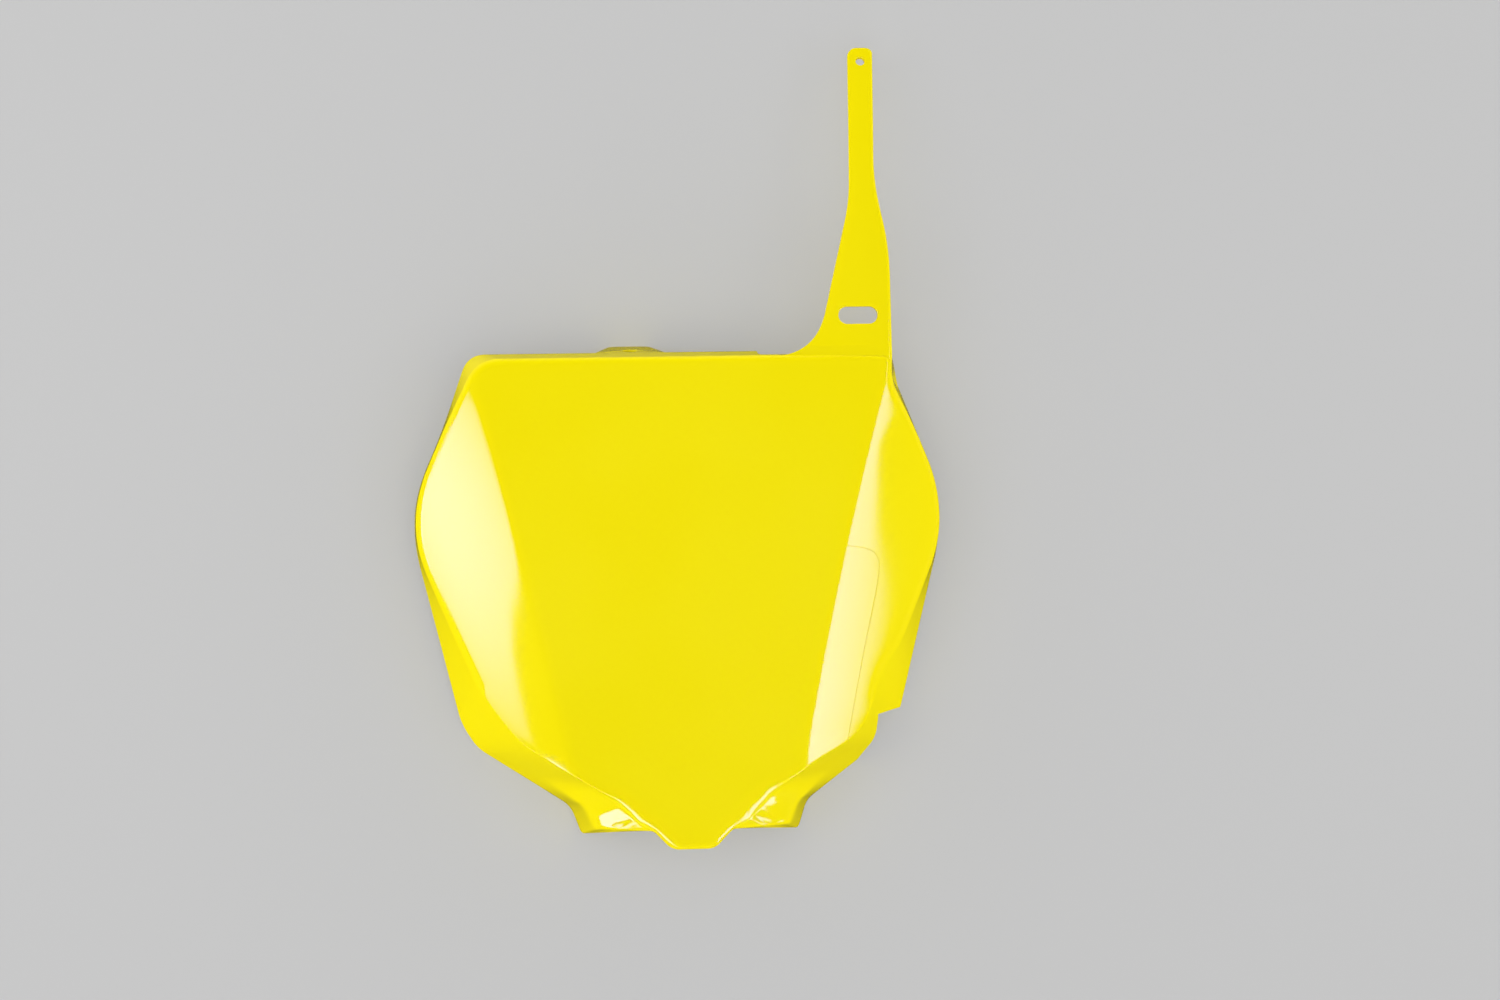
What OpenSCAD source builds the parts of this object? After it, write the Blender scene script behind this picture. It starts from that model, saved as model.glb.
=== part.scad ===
/* [Face] */
// Height of the face, from its top edge to the tip of the tongue
face_height = 231.8; // [200:0.5:260]
// Full width of the face at its top corners
face_top_width = 188; // [165:0.5:205]
// Full width of the face at the tips of the wings, before rounding
face_wing_width = 263.2; // [235:0.5:285]
// Full width of the face where the lower side bends in
face_bend_width = 188; // [165:0.5:210]
// Full width of the face at its lower corners
face_corner_width = 154; // [140:0.5:165]
// Full width of the face above the feet
face_foot_width = 74; // [60:0.5:90]
// Full width of the tongue at its tip
tongue_width = 19; // [12:0.5:30]
// Level of the wing tips, as a share of the face height
wing_level = 0.33; // [0.27:0.005:0.39]
// Level of the bend below the wings, as a share of the face height
bend_level = 0.688; // [0.65:0.005:0.72]
// Level of the lower corners, as a share of the face height
corner_level = 0.782; // [0.76:0.002:0.81]
// Level where the feet start, as a share of the face height
foot_level = 0.893; // [0.87:0.002:0.91]
// Radius of the lengthwise bow of the face
bow_radius = 1400; // [900:10:3000]
// Radius of the crosswise bow of the middle panel
cross_radius = 3000; // [1500:10:6000]
// Highest line of the lengthwise bow, as a share of the face height
bow_level = 0.43; // [0.35:0.01:0.5]

/* [Wings] */
// Full distance between the folds at the top edge
fold_top_width = 202.6; // [190:0.5:225]
// Full distance between the folds at their lower ends
fold_bottom_width = 113; // [90:0.5:125]
// How far each fold bows towards the middle
fold_bow = 2.6; // [0:0.1:5]
// Slope of the wings beside the folds
wing_angle = 19; // [12:0.5:28]
// Radius of the backward curve of the wings
wing_radius = 260; // [150:5:600]
// Size of the rounding along each fold
fold_round = 0.8; // [0.3:0.1:3]

/* [Rim] */
// Thickness of the wall
wall = 2.2; // [1.6:0.1:3]
// Depth from the middle of the face back to the rear edge
board_depth = 46; // [40:0.5:55]
// Depth of the rear edge behind the top edge of the face
top_flange_depth = 22; // [16:0.5:30]
// Depth of the rear edge at the wing tips
wing_rim_depth = 33; // [28:0.5:38]
// How far the flange leans out from the top edge
flange_lean = 4.3; // [2:0.1:6]
// How far the rim leans out at the top corners
corner_lean = 5.8; // [4:0.1:8]
// How far the rim leans out below the wings
skirt_lean = 13; // [9:0.1:17]
// How far the rim leans out at the lower corners
lower_lean = 22.5; // [18:0.5:27]
// How far the rim leans out beside the feet
foot_lean = 20.8; // [18:0.2:24]
// Size of the rounding between the face and the rim
rim_round = 3; // [2.4:0.1:5]
// Distance from the middle of the board to the notch in the top flange beside the strap
notch_offset = 38.5; // [32:0.5:44]
// Length of that notch
notch_length = 23; // [12:0.5:30]
// Radius of its inner corners
notch_corner = 3; // [1:0.1:5]
// How far the top corner of the face on the strap side reaches past the other one
corner_reach = 12.5; // [0:0.5:14]

/* [Lower end] */
// Full width over the outer corners of the feet
foot_width = 105.8; // [96:0.2:116]
// Full width between the feet at the rear edge
foot_gap = 76; // [66:0.5:84]
// Lift of the outer corners of the feet above the rear edge
foot_lift = 4; // [0:0.5:10]
// Depth of the inner corners of the feet
foot_inner_depth = 16; // [13:0.5:35]
// Swell of the wall over the feet: 0 is straight and more is rounder
foot_swell = 1.3; // [0:0.1:2]
// Depth of the lip round the tongue
tongue_lip = 3.4; // [2.6:0.1:6]
// How far that lip leans out
lip_lean = 0.7; // [0.2:0.1:1.5]
// How far the tongue reaches past the feet
tongue_reach = 4.7; // [2:0.1:8]
// How far the lower end leans towards the strap side
lower_shift = 3; // [0:0.1:6]
// Level where the relief cut in the rim on the strap side starts, as a share of the face height
relief_level = 0.731; // [0.71:0.001:0.74]
// Height of the relief
relief_height = 21; // [8:0.5:24]
// Length of the relief along the rim
relief_length = 27; // [15:0.5:30]
// How far the edge of the face swings in above the relief and out beside it
relief_swing = 4.2; // [0:0.1:6]

/* [Tab] */
// Width of the tab below the top flange
tab_width = 22; // [16:0.5:30]
// Width of the tab where it leaves the flange
tab_root_width = 35; // [26:0.5:42]
// Distance of the tab from the middle of the board
tab_offset = 22.5; // [0:0.1:40]
// Radius of the lower corners of the tab
tab_corner = 5; // [2:0.5:7]
// Diameter of the hole in the tab
tab_hole_diameter = 6.6; // [4:0.1:9]
// Distance of the hole from the lower edge of the tab
tab_hole_height = 17; // [12:0.5:22]

/* [Strap] */
// Distance of the straight side of the strap from the middle of the board
strap_side = 102.4; // [96:0.2:108]
// Reach of the strap above the top edge of the face
strap_reach = 151.9; // [120:0.5:170]
// Width of the strap at its narrow end
strap_width = 12.4; // [11.5:0.1:18]
// Width of the strap where it leaves the board
strap_root_width = 36.8; // [30:0.2:42]
// How far the neck is set in from the straight side
strap_set_in = 6.6; // [3:0.1:9]
// How far the narrow part leans out from the neck to its end
strap_lean = 2.5; // [0:0.1:4]
// Level where the strap becomes narrow, as a share of its reach
strap_neck_level = 0.53; // [0.46:0.01:0.6]
// Length of the rounding where the strap meets the top edge
strap_fillet = 22; // [12:0.5:28]
// Thickness of the strap
strap_thickness = 2.6; // [2:0.1:3]
// Slope of the strap at its root
strap_root_angle = 2; // [0:0.5:5]
// Slope of the strap at its end
strap_end_angle = 13; // [6:0.5:17]
// Level where the strap starts to bend back, as a share of its reach
strap_bend_start = 0.37; // [0.2:0.01:0.5]
// Level where that bend ends, as a share of its reach
strap_bend_end = 0.78; // [0.65:0.01:0.9]
// Depth of the side wall where the strap leaves the board
strap_lip_depth = 16; // [10:0.5:20]
// Level where that wall has run out, as a share of the reach
strap_lip_level = 0.55; // [0.4:0.01:0.7]
// Step from the top edge of the face down to the strap
strap_step = 1; // [0.6:0.1:2]
// Rounding of the outer edge of the strap
strap_round = 2.2; // [1:0.1:2.5]
// Radius of the left corner at the end of the strap
strap_end_left = 4.5; // [2:0.1:5]
// Radius of the right corner at the end of the strap
strap_end_right = 2.8; // [1:0.1:3.2]
// Diameter of the hole at the end of the strap
strap_hole_diameter = 4.3; // [3:0.1:6]
// Distance of that hole from the end of the strap
strap_hole_inset = 7; // [5:0.1:12]
// Length of the slot at the root of the strap
slot_length = 18.7; // [12:0.1:22]
// Width of the slot
slot_width = 8.3; // [5:0.1:10]
// Level of the slot above the top edge of the face
slot_level = 19.3; // [14:0.1:26]

/* [Hidden] */
yellow = [0.93, 0.8, 0.02];
$fn = 48;

// Steps along the bend at each corner, along each straight, and across half the face
corner_steps = [0, 4, 8, 6, 5, 3, 2, 2, 3, 4, 0];
straight_steps = 3;
panel_steps = 4;
wing_steps = 4;
rim_steps = 3;
round_steps = 3;
// Overlap that keeps joined and cut solids clear of shared faces, and length of the cutting tools
over = 1;
tool_length = 20;
// How far an inner part sinks below the skin it stands on
sunk = 0.3;
// Places between the feet and the tip of the tongue where the lower outline turns, as shares of the way
tongue_turns = [0.2, 0.42, 0.68];
// Rear edge against the face: inwards and up at the wing tips, down at the bend, corners and feet
wing_tuck = 0.6;
wing_rise = 5;
bend_drop = 13;
bend_lift = 2;
corner_drop = 3.7;
foot_drop = 6.9;
// Inner end of each foot against the turn of the face beside it
foot_tuck = 0.6;
foot_rise = 3.6;
foot_inner_rise = 2.9;
// Run over which the swell of the feet sets in, as a share of the face height
swell_run = 0.05;
// Share of the half width kept inside the folds where the face is narrower than they are
fold_limit = 0.96;
// Run of the swing of the face edge, and how far above the relief it passes through zero
swing_run = 27;
swing_rise = 5;
// Depth over which the reach of the top corner on the strap side runs out
corner_run = 18;
// Set-in of the underside of the strap beside its side wall
blade_tuck = 0.1;
// Part of the height over which the lower end leans
shift_start = 0.76;
shift_run = 0.2;

// Blend that runs from 0 to 1 between two levels
function ease(t) = let(c = max(0, min(1, t))) c * c * (3 - 2 * c);
// Point on the way from a to b, at a share of the distance
function along(a, b, t) = a + (b - a) * t;
// Smooth ramp: nothing before zero and a straight climb after it
function ramp(d) = (d + sqrt(d * d + 4 * fold_round * fold_round)) / 2;

// Half distance between the folds at a level
function fold(y) =
    let(s = -y / (face_height * corner_level))
    fold_top_width / 2 - (fold_top_width - fold_bottom_width) / 2 * s - 4 * fold_bow * s * (1 - s);
fold_slope = atan((fold_top_width - fold_bottom_width) / 2 / (face_height * corner_level));
// Fall of a wing at a distance outside the fold
function wing_fall(d) = let(r = ramp(d * cos(fold_slope))) tan(wing_angle) * r + r * r / (2 * wing_radius);
// Height of the outer face at a point
function face_z(x, y) =
    let(half = abs(x), f = fold(y), b = y + bow_level * face_height)
    -b * b / (2 * bow_radius) - pow(min(half, f), 2) / (2 * cross_radius) - wing_fall(half - f);

// Path that follows corner points [x, y, z] and rounds each by a share of its shorter side
function path(v, share, steps) = [for (k = [1:len(v) - 2])
    let(
        back = norm(v[k - 1] - v[k]),
        on = norm(v[k + 1] - v[k]),
        set = share[k] * min(back, on),
        a = along(v[k], v[k - 1], set / back),
        b = along(v[k], v[k + 1], set / on),
        last = k == 1 ? v[0] : along(v[k - 1], v[k], share[k - 1] * min(norm(v[k - 2] - v[k - 1]), back) / back))
    each concat(
        k == 1 ? [] : [for (i = [1:straight_steps - 1]) along(last, a, i / straight_steps)],
        [for (i = [0:steps[k]]) let(t = i / steps[k]) along(along(a, v[k], t), along(v[k], b, t), t)])];

// Corners of the right half of the face
rear = -board_depth;
tongue_z = face_z(0, -face_height) - tongue_lip;
foot_y = -face_height + tongue_reach;
f_foot = [face_foot_width / 2, -face_height * foot_level, 0];
f_tip = [tongue_width / 2, -face_height, 0];
face_corners = [
    [0, 0, 0],
    [face_top_width / 2, 0, 0],
    [face_wing_width / 2, -face_height * wing_level, 0],
    [face_bend_width / 2, -face_height * bend_level, 0],
    [face_corner_width / 2, -face_height * corner_level, 0],
    f_foot,
    for (t = tongue_turns) along(f_foot, f_tip, t),
    f_tip,
    [0, -face_height, 0]];
face_shares = [0, 0.13, 0.33, 0.35, 0.3, 0.25, 0.2, 0.2, 0.2, 0.45, 0];

// Corners of the right half of the rear edge of the rim
rim_corners = [
    [0, flange_lean, -top_flange_depth],
    face_corners[1] + [corner_lean, flange_lean, -top_flange_depth],
    face_corners[2] + [-wing_tuck, wing_rise, -wing_rim_depth],
    face_corners[3] + [skirt_lean, -bend_drop, rear + bend_lift],
    face_corners[4] + [lower_lean, -corner_drop, rear],
    face_corners[5] + [foot_lean, -foot_drop, rear],
    [foot_width / 2, foot_y, rear + foot_lift],
    [foot_gap / 2, foot_y + foot_inner_rise, -foot_inner_depth],
    [face_corners[8][0] + foot_tuck, foot_y + foot_rise, tongue_z - wall],
    [tongue_width / 2 + lip_lean, -face_height - lip_lean, tongue_z],
    [0, -face_height - lip_lean, tongue_z]];
rim_shares = [0, 0.1, 0.33, 0.4, 0.3, 0.3, 0.2, 0.2, 0.15, 0.35, 0];

face_side = path(face_corners, face_shares, corner_steps);
rim_side = path(rim_corners, rim_shares, corner_steps);
rows = len(face_side) - 1;
columns = 2 * (panel_steps + wing_steps);
loop = 2 * rows + 2 * columns;

// Place of a column in a row, from -1 to 1, with the folds on columns of their own
function column_x(c, half, y) =
    let(
        k = abs(c - columns / 2),
        side = c < columns / 2 ? -1 : 1,
        f = min(fold(y), half * fold_limit),
        soft = min(3 * fold_round, (half - f) * 0.3),
        u = k - panel_steps)
    side * (u < 0 ? (f - soft) * k / (panel_steps - 1)
        : u == 0 ? f
        : f + soft + (half - f - soft) * (u - 1) / (wing_steps - 1));

// Row and column of each step round the edge of the grid, clockwise from the top left
function loop_cell(i) =
    i <= columns ? [0, i]
    : i <= columns + rows ? [i - columns, columns]
    : i <= 2 * columns + rows ? [rows, 2 * columns + rows - i]
    : [2 * columns + 2 * rows - i, 0];
// Point on the full outline that a side path describes, for a step round the edge
function loop_point(side_path, i) =
    let(g = loop_cell(i), p = side_path[g[0]])
    g[1] == columns ? p
    : g[1] == 0 ? [-p[0], p[1], p[2]]
    : [column_x(g[1], p[0], p[1]), p[1], p[2]];
// How far the face edge on the strap side stands out at a level: at its top corner and beside the relief
relief_y = -face_height * relief_level;
function swing(y) =
    let(t = (relief_y + swing_rise - y) / swing_run, c = max(0, 1 + y / corner_run))
    corner_reach * c * c + (abs(t) < 1 ? relief_swing * sin(180 * t) : 0);
function on_face(p) = [p[0], p[1], face_z(p[0], p[1])];
face_loop = [for (i = [0:loop - 1]) let(p = loop_point(face_side, i))
    on_face(loop_cell(i)[1] == columns ? p + [swing(p[1]), 0, 0] : p)];
rim_loop = [for (i = [0:loop - 1]) let(
    g = loop_cell(i), p = rim_side[g[0]], f = face_loop[i], q = face_side[g[0]])
    g[1] == columns ? p : g[1] == 0 ? [-p[0], p[1], p[2]] : [f[0] * p[0] / q[0], p[1], p[2]]];

// Outward direction in plan at a step round a loop
function outward(l, i) =
    let(a = l[(i + loop - 1) % loop], b = l[(i + 1) % loop], d = [b[0] - a[0], b[1] - a[1]])
    [-d[1], d[0], 0] / norm(d);
face_out = [for (i = [0:loop - 1]) outward(face_loop, i)];
rim_out = [for (i = [0:loop - 1]) outward(rim_loop, i)];
// Edge of the flat part of the face, one rounding inside the outline
inset_loop = [for (i = [0:loop - 1]) on_face(face_loop[i] - rim_round * face_out[i])];

// Rings of the outer skin below the face, of the rear edge, and of the inner skin back up
function round_ring(t) = [for (i = [0:loop - 1]) let(
    a = inset_loop[i],
    f = face_loop[i],
    b = f + (rim_loop[i] - f) * min(0.5, rim_round / norm(rim_loop[i] - f)))
    along(along(a, f, t), along(f, b, t), t)];
round_end = round_ring(1);
// Point on a wall of the rim, at a share of the way from the face to the rear edge
function wall_point(top, bottom, t, i) =
    let(p = along(top, bottom, t), swell = foot_swell * ease((-face_loop[i][1] / face_height - foot_level) / swell_run))
    [p[0], p[1], along(top[2], bottom[2], pow(t, 1 + swell))];
inner_edge = [for (i = [0:loop - 1]) rim_loop[i] - wall * rim_out[i]];
inner_corner = [for (i = [0:loop - 1]) on_face(face_loop[i] - 0.85 * wall * face_out[i]) - [0, 0, wall]];
rings = concat(
    [for (k = [1:round_steps]) round_ring(k / round_steps)],
    [for (k = [1:rim_steps]) [for (i = [0:loop - 1]) wall_point(round_end[i], rim_loop[i], k / rim_steps, i)]],
    [for (k = [rim_steps:-1:0]) [for (i = [0:loop - 1]) wall_point(inner_corner[i], inner_edge[i], k / rim_steps, i)]]);

// Grid of the face: rows run down the board and columns run across it
function grid_point(r, c) =
    let(
        left = inset_loop[(loop - r) % loop],
        right = inset_loop[columns + r],
        y = along(left[1], right[1], c / columns))
    on_face([column_x(c, c < columns / 2 ? -left[0] : right[0], y), y]);
grid = [for (r = [0:rows], c = [0:columns]) grid_point(r, c)];

// The lower end leans a little towards the strap side
function shifted(p) = p + [lower_shift * ease((-p[1] / face_height - shift_start) / shift_run), 0, 0];

shell_points = [for (p = concat(grid, [for (ring = rings) each ring], [for (p = grid) p - [0, 0, wall]])) shifted(p)];
cells = len(grid);
inner_start = cells + len(rings) * loop;
function cell_index(r, c) = r * (columns + 1) + c;
// Number of the point at a step round a ring: the first and last rings are the grids' own edges
function ring_index(ring, step) =
    let(i = step % loop, g = loop_cell(i))
    ring == 0 ? cell_index(g[0], g[1])
    : ring == len(rings) + 1 ? inner_start + cell_index(g[0], g[1])
    : cells + (ring - 1) * loop + i;
function two(a, b, c, d) = [[a, b, c], [a, c, d]];

shell_faces = concat(
    [for (r = [0:rows - 1], c = [0:columns - 1]) each two(
        cell_index(r, c), cell_index(r, c + 1), cell_index(r + 1, c + 1), cell_index(r + 1, c))],
    [for (q = [0:len(rings)], i = [0:loop - 1]) each two(
        ring_index(q + 1, i), ring_index(q + 1, i + 1), ring_index(q, i + 1), ring_index(q, i))],
    [for (r = [0:rows - 1], c = [0:columns - 1]) each two(
        inner_start + cell_index(r, c), inner_start + cell_index(r + 1, c),
        inner_start + cell_index(r + 1, c + 1), inner_start + cell_index(r, c + 1))]);

// Line of the strap: nearly straight, then bent back, then straight again
strap_z0 = face_z(strap_side - strap_root_width / 2, 0) - strap_step;
bend_start = strap_bend_start * strap_reach;
bend_end = strap_bend_end * strap_reach;
// Slope by which the root of the strap dives under the face
dive = 0.3;
function strap_z(y) =
    let(
        turn = tan(strap_end_angle) - tan(strap_root_angle),
        run = bend_end - bend_start,
        bent = y < bend_start ? 0 : y < bend_end ? pow(y - bend_start, 2) / (2 * run) : y - bend_start - run / 2)
    strap_z0 - (y < 0 ? -dive * y : tan(strap_root_angle) * y + turn * bent);

// Sides of the strap in plan
root_y = -14;
neck_y = strap_neck_level * strap_reach;
neck_x = strap_side - strap_set_in;
end_x = neck_x + strap_lean;
root_left = strap_side - strap_root_width;
// Bends beside the neck, from where each side turns in to where it runs on to the end
neck_left_drop = 0.04 * strap_reach;
neck_right_drop = 0.19 * strap_reach;
neck_right_rise = 0.025 * strap_reach;
strap_left = path([
    [root_left - strap_fillet - over, 0, 0],
    [root_left, 0, 0],
    [neck_x - strap_width, neck_y - neck_left_drop, 0],
    [end_x - strap_width, strap_reach, 0],
    [end_x - strap_width, strap_reach + over, 0]], [0, 0.95, 0.12, 0, 0], [0, 8, 3, 1, 0]);
strap_right = path([
    [lookup(root_y, by_level(face_side)) + swing(root_y), root_y, 0],
    [strap_side, 0, 0],
    [strap_side, neck_y - neck_right_drop, 0],
    [neck_x, neck_y + neck_right_rise, 0],
    [end_x, strap_reach, 0],
    [end_x, strap_reach + over, 0]], [0, 0.4, 0.4, 0.4, 0, 0], [0, 4, 5, 5, 1, 0]);
function by_level(l) = [for (p = l) [p[1], p[0]]];
left_table = by_level(strap_left);
face_table = by_level(face_side);
root_x = lookup(root_y, face_table) + swing(root_y);
right_table = concat([[root_y, root_x]], by_level(strap_right));
// Set-out and rear edge of the rim where the root of the strap ends, and how deep that end sits in the rim
root_sunk = 1.2;
root_set_out = lookup(root_y, by_level(rim_side)) - lookup(root_y, face_table);
root_rim_z = lookup(root_y, [for (p = rim_side) [p[1], p[2]]]);

// How far a round corner at the end of the strap sets its side in, at a level
function end_round(y, r) = let(d = y - strap_reach + r) d < 0 ? 0 : r - sqrt(max(0, r * r - d * d));

// Section of the strap at a level: a blade with a rounded edge that turns down into a side wall
bead = 0.6;
lip_spread = 1.8;
// Levels where the root of the strap turns from the inside of the face to its top edge
root_turns = [-0.8 * wall, -0.6 * wall];
function strap_section(y) =
    let(
        right = lookup(y, right_table) - end_round(y, strap_end_right),
        left = y <= root_turns[0] ? lookup(y, face_table) - strap_thickness
            : lookup(y, left_table) + end_round(y, strap_end_left),
        top = strap_z(y),
        fade = ease(y / (strap_lip_level * strap_reach)),
        bottom = along(strap_z0 - strap_lip_depth, top - strap_thickness - bead, fade),
        root_top = face_z(root_x, root_y),
        root_spread = root_set_out * (root_top - bottom) / (root_top - root_rim_z) - root_sunk,
        spread = y < 0 ? along(lip_spread, root_spread, y / root_y) : lip_spread * (1 - fade))
    [for (p = concat(
        [[left, top]],
        [for (a = [0, 30, 60, 90]) [right - strap_round * (1 - sin(a)), top - strap_round * (1 - cos(a))]],
        [
            [right + spread, bottom],
            [right + spread - strap_thickness, bottom],
            [right - strap_thickness - blade_tuck, top - strap_thickness],
            [left, top - strap_thickness]])) [p[0], y, p[1]]];

strap_levels = concat(
    [for (t = [1, 0.7, 0.4]) t * root_y],
    root_turns,
    [for (p = strap_left) if (p[1] > 0.1 * over && p[1] < strap_reach - strap_end_left - over) p[1]],
    [for (a = [0:15:90]) strap_reach - strap_end_left * (1 - sin(a))]);
strap_rings = [for (y = strap_levels) strap_section(y)];

// Solid that joins a list of closed rings, each with the same number of points
module loft(list) {
    n = len(list[0]);
    m = len(list);
    polyhedron(
        [for (ring = list) each ring],
        concat(
            [[for (i = [0:n - 1]) i]],
            [for (q = [0:m - 2], i = [0:n - 1]) let(j = (i + 1) % n, a = q * n, b = a + n)
                each two(b + i, b + j, a + j, a + i)],
            [[for (i = [n - 1:-1:0]) (m - 1) * n + i]]),
        convexity = 6);
}

// Centres of the hole and of the slot in the strap
hole_y = strap_reach - strap_hole_inset;
hole_x = along(neck_x, end_x, (hole_y - neck_y) / (strap_reach - neck_y)) - strap_width / 2;
slot_x = (lookup(slot_level, left_table) + strap_side) / 2;
slot_run = (slot_length - slot_width) / 2;

// Tab that stands down from the top flange, in a frame that lies along the flange
flange_z = face_z(tab_offset, 0);
flange_angle = atan(flange_lean / (top_flange_depth + flange_z));
tab_length = (board_depth + flange_z) / cos(flange_angle);
module on_flange() {
    translate([-tab_offset, 0, flange_z]) rotate([flange_angle, 0, 0]) children();
}
// Level of the flange's rear edge above the lower edge of the tab
tab_root = (board_depth - top_flange_depth) / cos(flange_angle);
module tab() {
    on_flange() translate([0, -sunk, -tab_length]) rotate([90, 0, 0]) linear_extrude(height = wall) {
        hull() {
            for (side = [-1, 1]) translate([side * (tab_width / 2 - tab_corner), tab_corner]) circle(r = tab_corner);
            translate([-tab_root_width / 2, tab_root]) square([tab_root_width, over]);
        }
        translate([-tab_root_width / 2, tab_root]) square([tab_root_width, tab_length - rim_round - tab_root]);
    }
}

// Notch that frees the root of the strap from the top flange, drawn from behind
module notch() {
    low = -top_flange_depth - notch_corner - over;
    translate([notch_offset, flange_lean + over, low]) rotate([90, 0, 0])
        linear_extrude(height = flange_lean + 2 * (wall + over))
            offset(r = notch_corner) offset(delta = -notch_corner)
                square([notch_length, strap_z0 - strap_thickness - over - low]);
}

// Relief in the rim below the wing on the strap side, drawn from the side
relief_slope = 0.12;
relief_turn = 0.3;
relief_drop = 0.2;
module relief() {
    rotate([90, 0, 90]) linear_extrude(height = face_wing_width) polygon([
        [relief_y + relief_slope * over, rear - over],
        [relief_y - relief_slope * relief_height, rear + relief_height],
        [relief_y - relief_turn * relief_length, rear + relief_height * (1 - relief_drop)],
        [relief_y - relief_length, rear - over]]);
}

module board() {
    difference() {
        union() {
            polyhedron(shell_points, shell_faces, convexity = 10);
            loft(strap_rings);
            tab();
        }
        relief();
        notch();
        // Slot at the root of the strap
        for (side = [-1, 1]) translate([slot_x + side * slot_run, slot_level, strap_z(slot_level) - tool_length / 2])
            cylinder(d = slot_width, h = tool_length);
        translate([slot_x - slot_run, slot_level - slot_width / 2, strap_z(slot_level) - tool_length / 2])
            cube([2 * slot_run, slot_width, tool_length]);
        // Holes square to the end of the strap and to the tab
        translate([hole_x, hole_y, strap_z(hole_y)]) rotate([-strap_end_angle, 0, 0])
            cylinder(d = strap_hole_diameter, h = tool_length, center = true);
        on_flange() translate([0, 0, tab_hole_height - tab_length])
            rotate([90, 0, 0]) cylinder(d = tab_hole_diameter, h = tool_length, center = true);
        // Level foot below the rear edge
        translate([-face_wing_width, -face_height, rear - tool_length])
            cube([2 * face_wing_width, 2 * face_height, tool_length]);
    }
}

// Origin below the middle of the whole, at the level of the rear edge
module number_board() {
    translate([0, (face_height + lip_lean - strap_reach) / 2, board_depth]) board();
}

color(yellow) number_board();
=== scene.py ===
"""Looks of the racing number board: one moulded piece with its strap and its tab.

Shapes are worked out in millimetres in the board's own axes: x to the right, y up
from the top edge of the face and z out of the face. They end up in metres in the
frame that the solids use.
"""
import logging
import math
from dataclasses import dataclass, fields
from enum import Enum
from typing import Callable, Iterable, Protocol, Sequence, TypeVar

import bmesh
import bpy
import numpy as np
from mathutils import Matrix, Vector


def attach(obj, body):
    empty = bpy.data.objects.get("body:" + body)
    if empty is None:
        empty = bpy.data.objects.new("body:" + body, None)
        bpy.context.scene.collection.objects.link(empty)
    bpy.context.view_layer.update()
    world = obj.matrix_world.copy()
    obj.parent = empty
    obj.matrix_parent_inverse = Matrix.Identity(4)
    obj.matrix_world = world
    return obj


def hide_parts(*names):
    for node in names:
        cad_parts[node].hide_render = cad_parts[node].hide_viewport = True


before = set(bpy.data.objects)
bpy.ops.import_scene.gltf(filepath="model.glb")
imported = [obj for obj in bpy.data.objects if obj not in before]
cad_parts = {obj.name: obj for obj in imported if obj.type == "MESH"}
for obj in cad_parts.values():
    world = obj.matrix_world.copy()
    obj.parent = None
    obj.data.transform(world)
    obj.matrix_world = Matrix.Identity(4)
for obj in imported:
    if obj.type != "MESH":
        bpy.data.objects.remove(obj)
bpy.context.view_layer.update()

LOG = logging.getLogger("number_board")
NODE = "number_board"
SLOT = "yellow_plastic"
BODY = "root"
MILLIMETRE = 0.001
# Where the middle of the face's top edge lies in the frame, in metres
ORIGIN = (0.0, 0.0403, 0.046)
# How far tools and guide lines run past what they meet, in millimetres
OVER = 1.0
# Share of its radius by which the middle of a rounding is set in
ARC_MIDDLE = 0.3
# Places of the widest level, of the feet and of the tip in the lists of the face's corners
WING, FOOT, TIP = 1, 4, 5
# A number or an array of numbers
Plain = float | np.ndarray
# The same, or a number inside a node tree
Amount = TypeVar("Amount")


class Join(Enum):
    """Ways in which two solids are combined."""

    ADD = "UNION"
    CUT = "DIFFERENCE"


class Maths(Protocol):
    """The few functions that the height rule needs."""

    def size(self, value: Amount) -> Amount:
        """Value without its sign.

        Args:
            value: Any amount.

        Returns:
            Amount of the same kind.
        """

    def least(self, first: Amount, second: Amount) -> Amount:
        """The smaller of two values.

        Args:
            first: Any amount.
            second: Amount of the same kind.

        Returns:
            Amount of the same kind.
        """

    def root(self, value: Amount) -> Amount:
        """Square root.

        Args:
            value: Any amount.

        Returns:
            Amount of the same kind.
        """


class PlainMaths:
    """Functions of the height rule for numbers and arrays."""

    def size(self, value: Plain) -> Plain:
        """Value without its sign.

        Args:
            value: Number or array.

        Returns:
            Number or array.
        """
        return np.abs(value)

    def least(self, first: Plain, second: Plain) -> Plain:
        """The smaller of two values.

        Args:
            first: Number or array.
            second: Number or array.

        Returns:
            Number or array.
        """
        return np.minimum(first, second)

    def root(self, value: Plain) -> Plain:
        """Square root.

        Args:
            value: Number or array.

        Returns:
            Number or array.
        """
        return np.sqrt(value)


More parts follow.
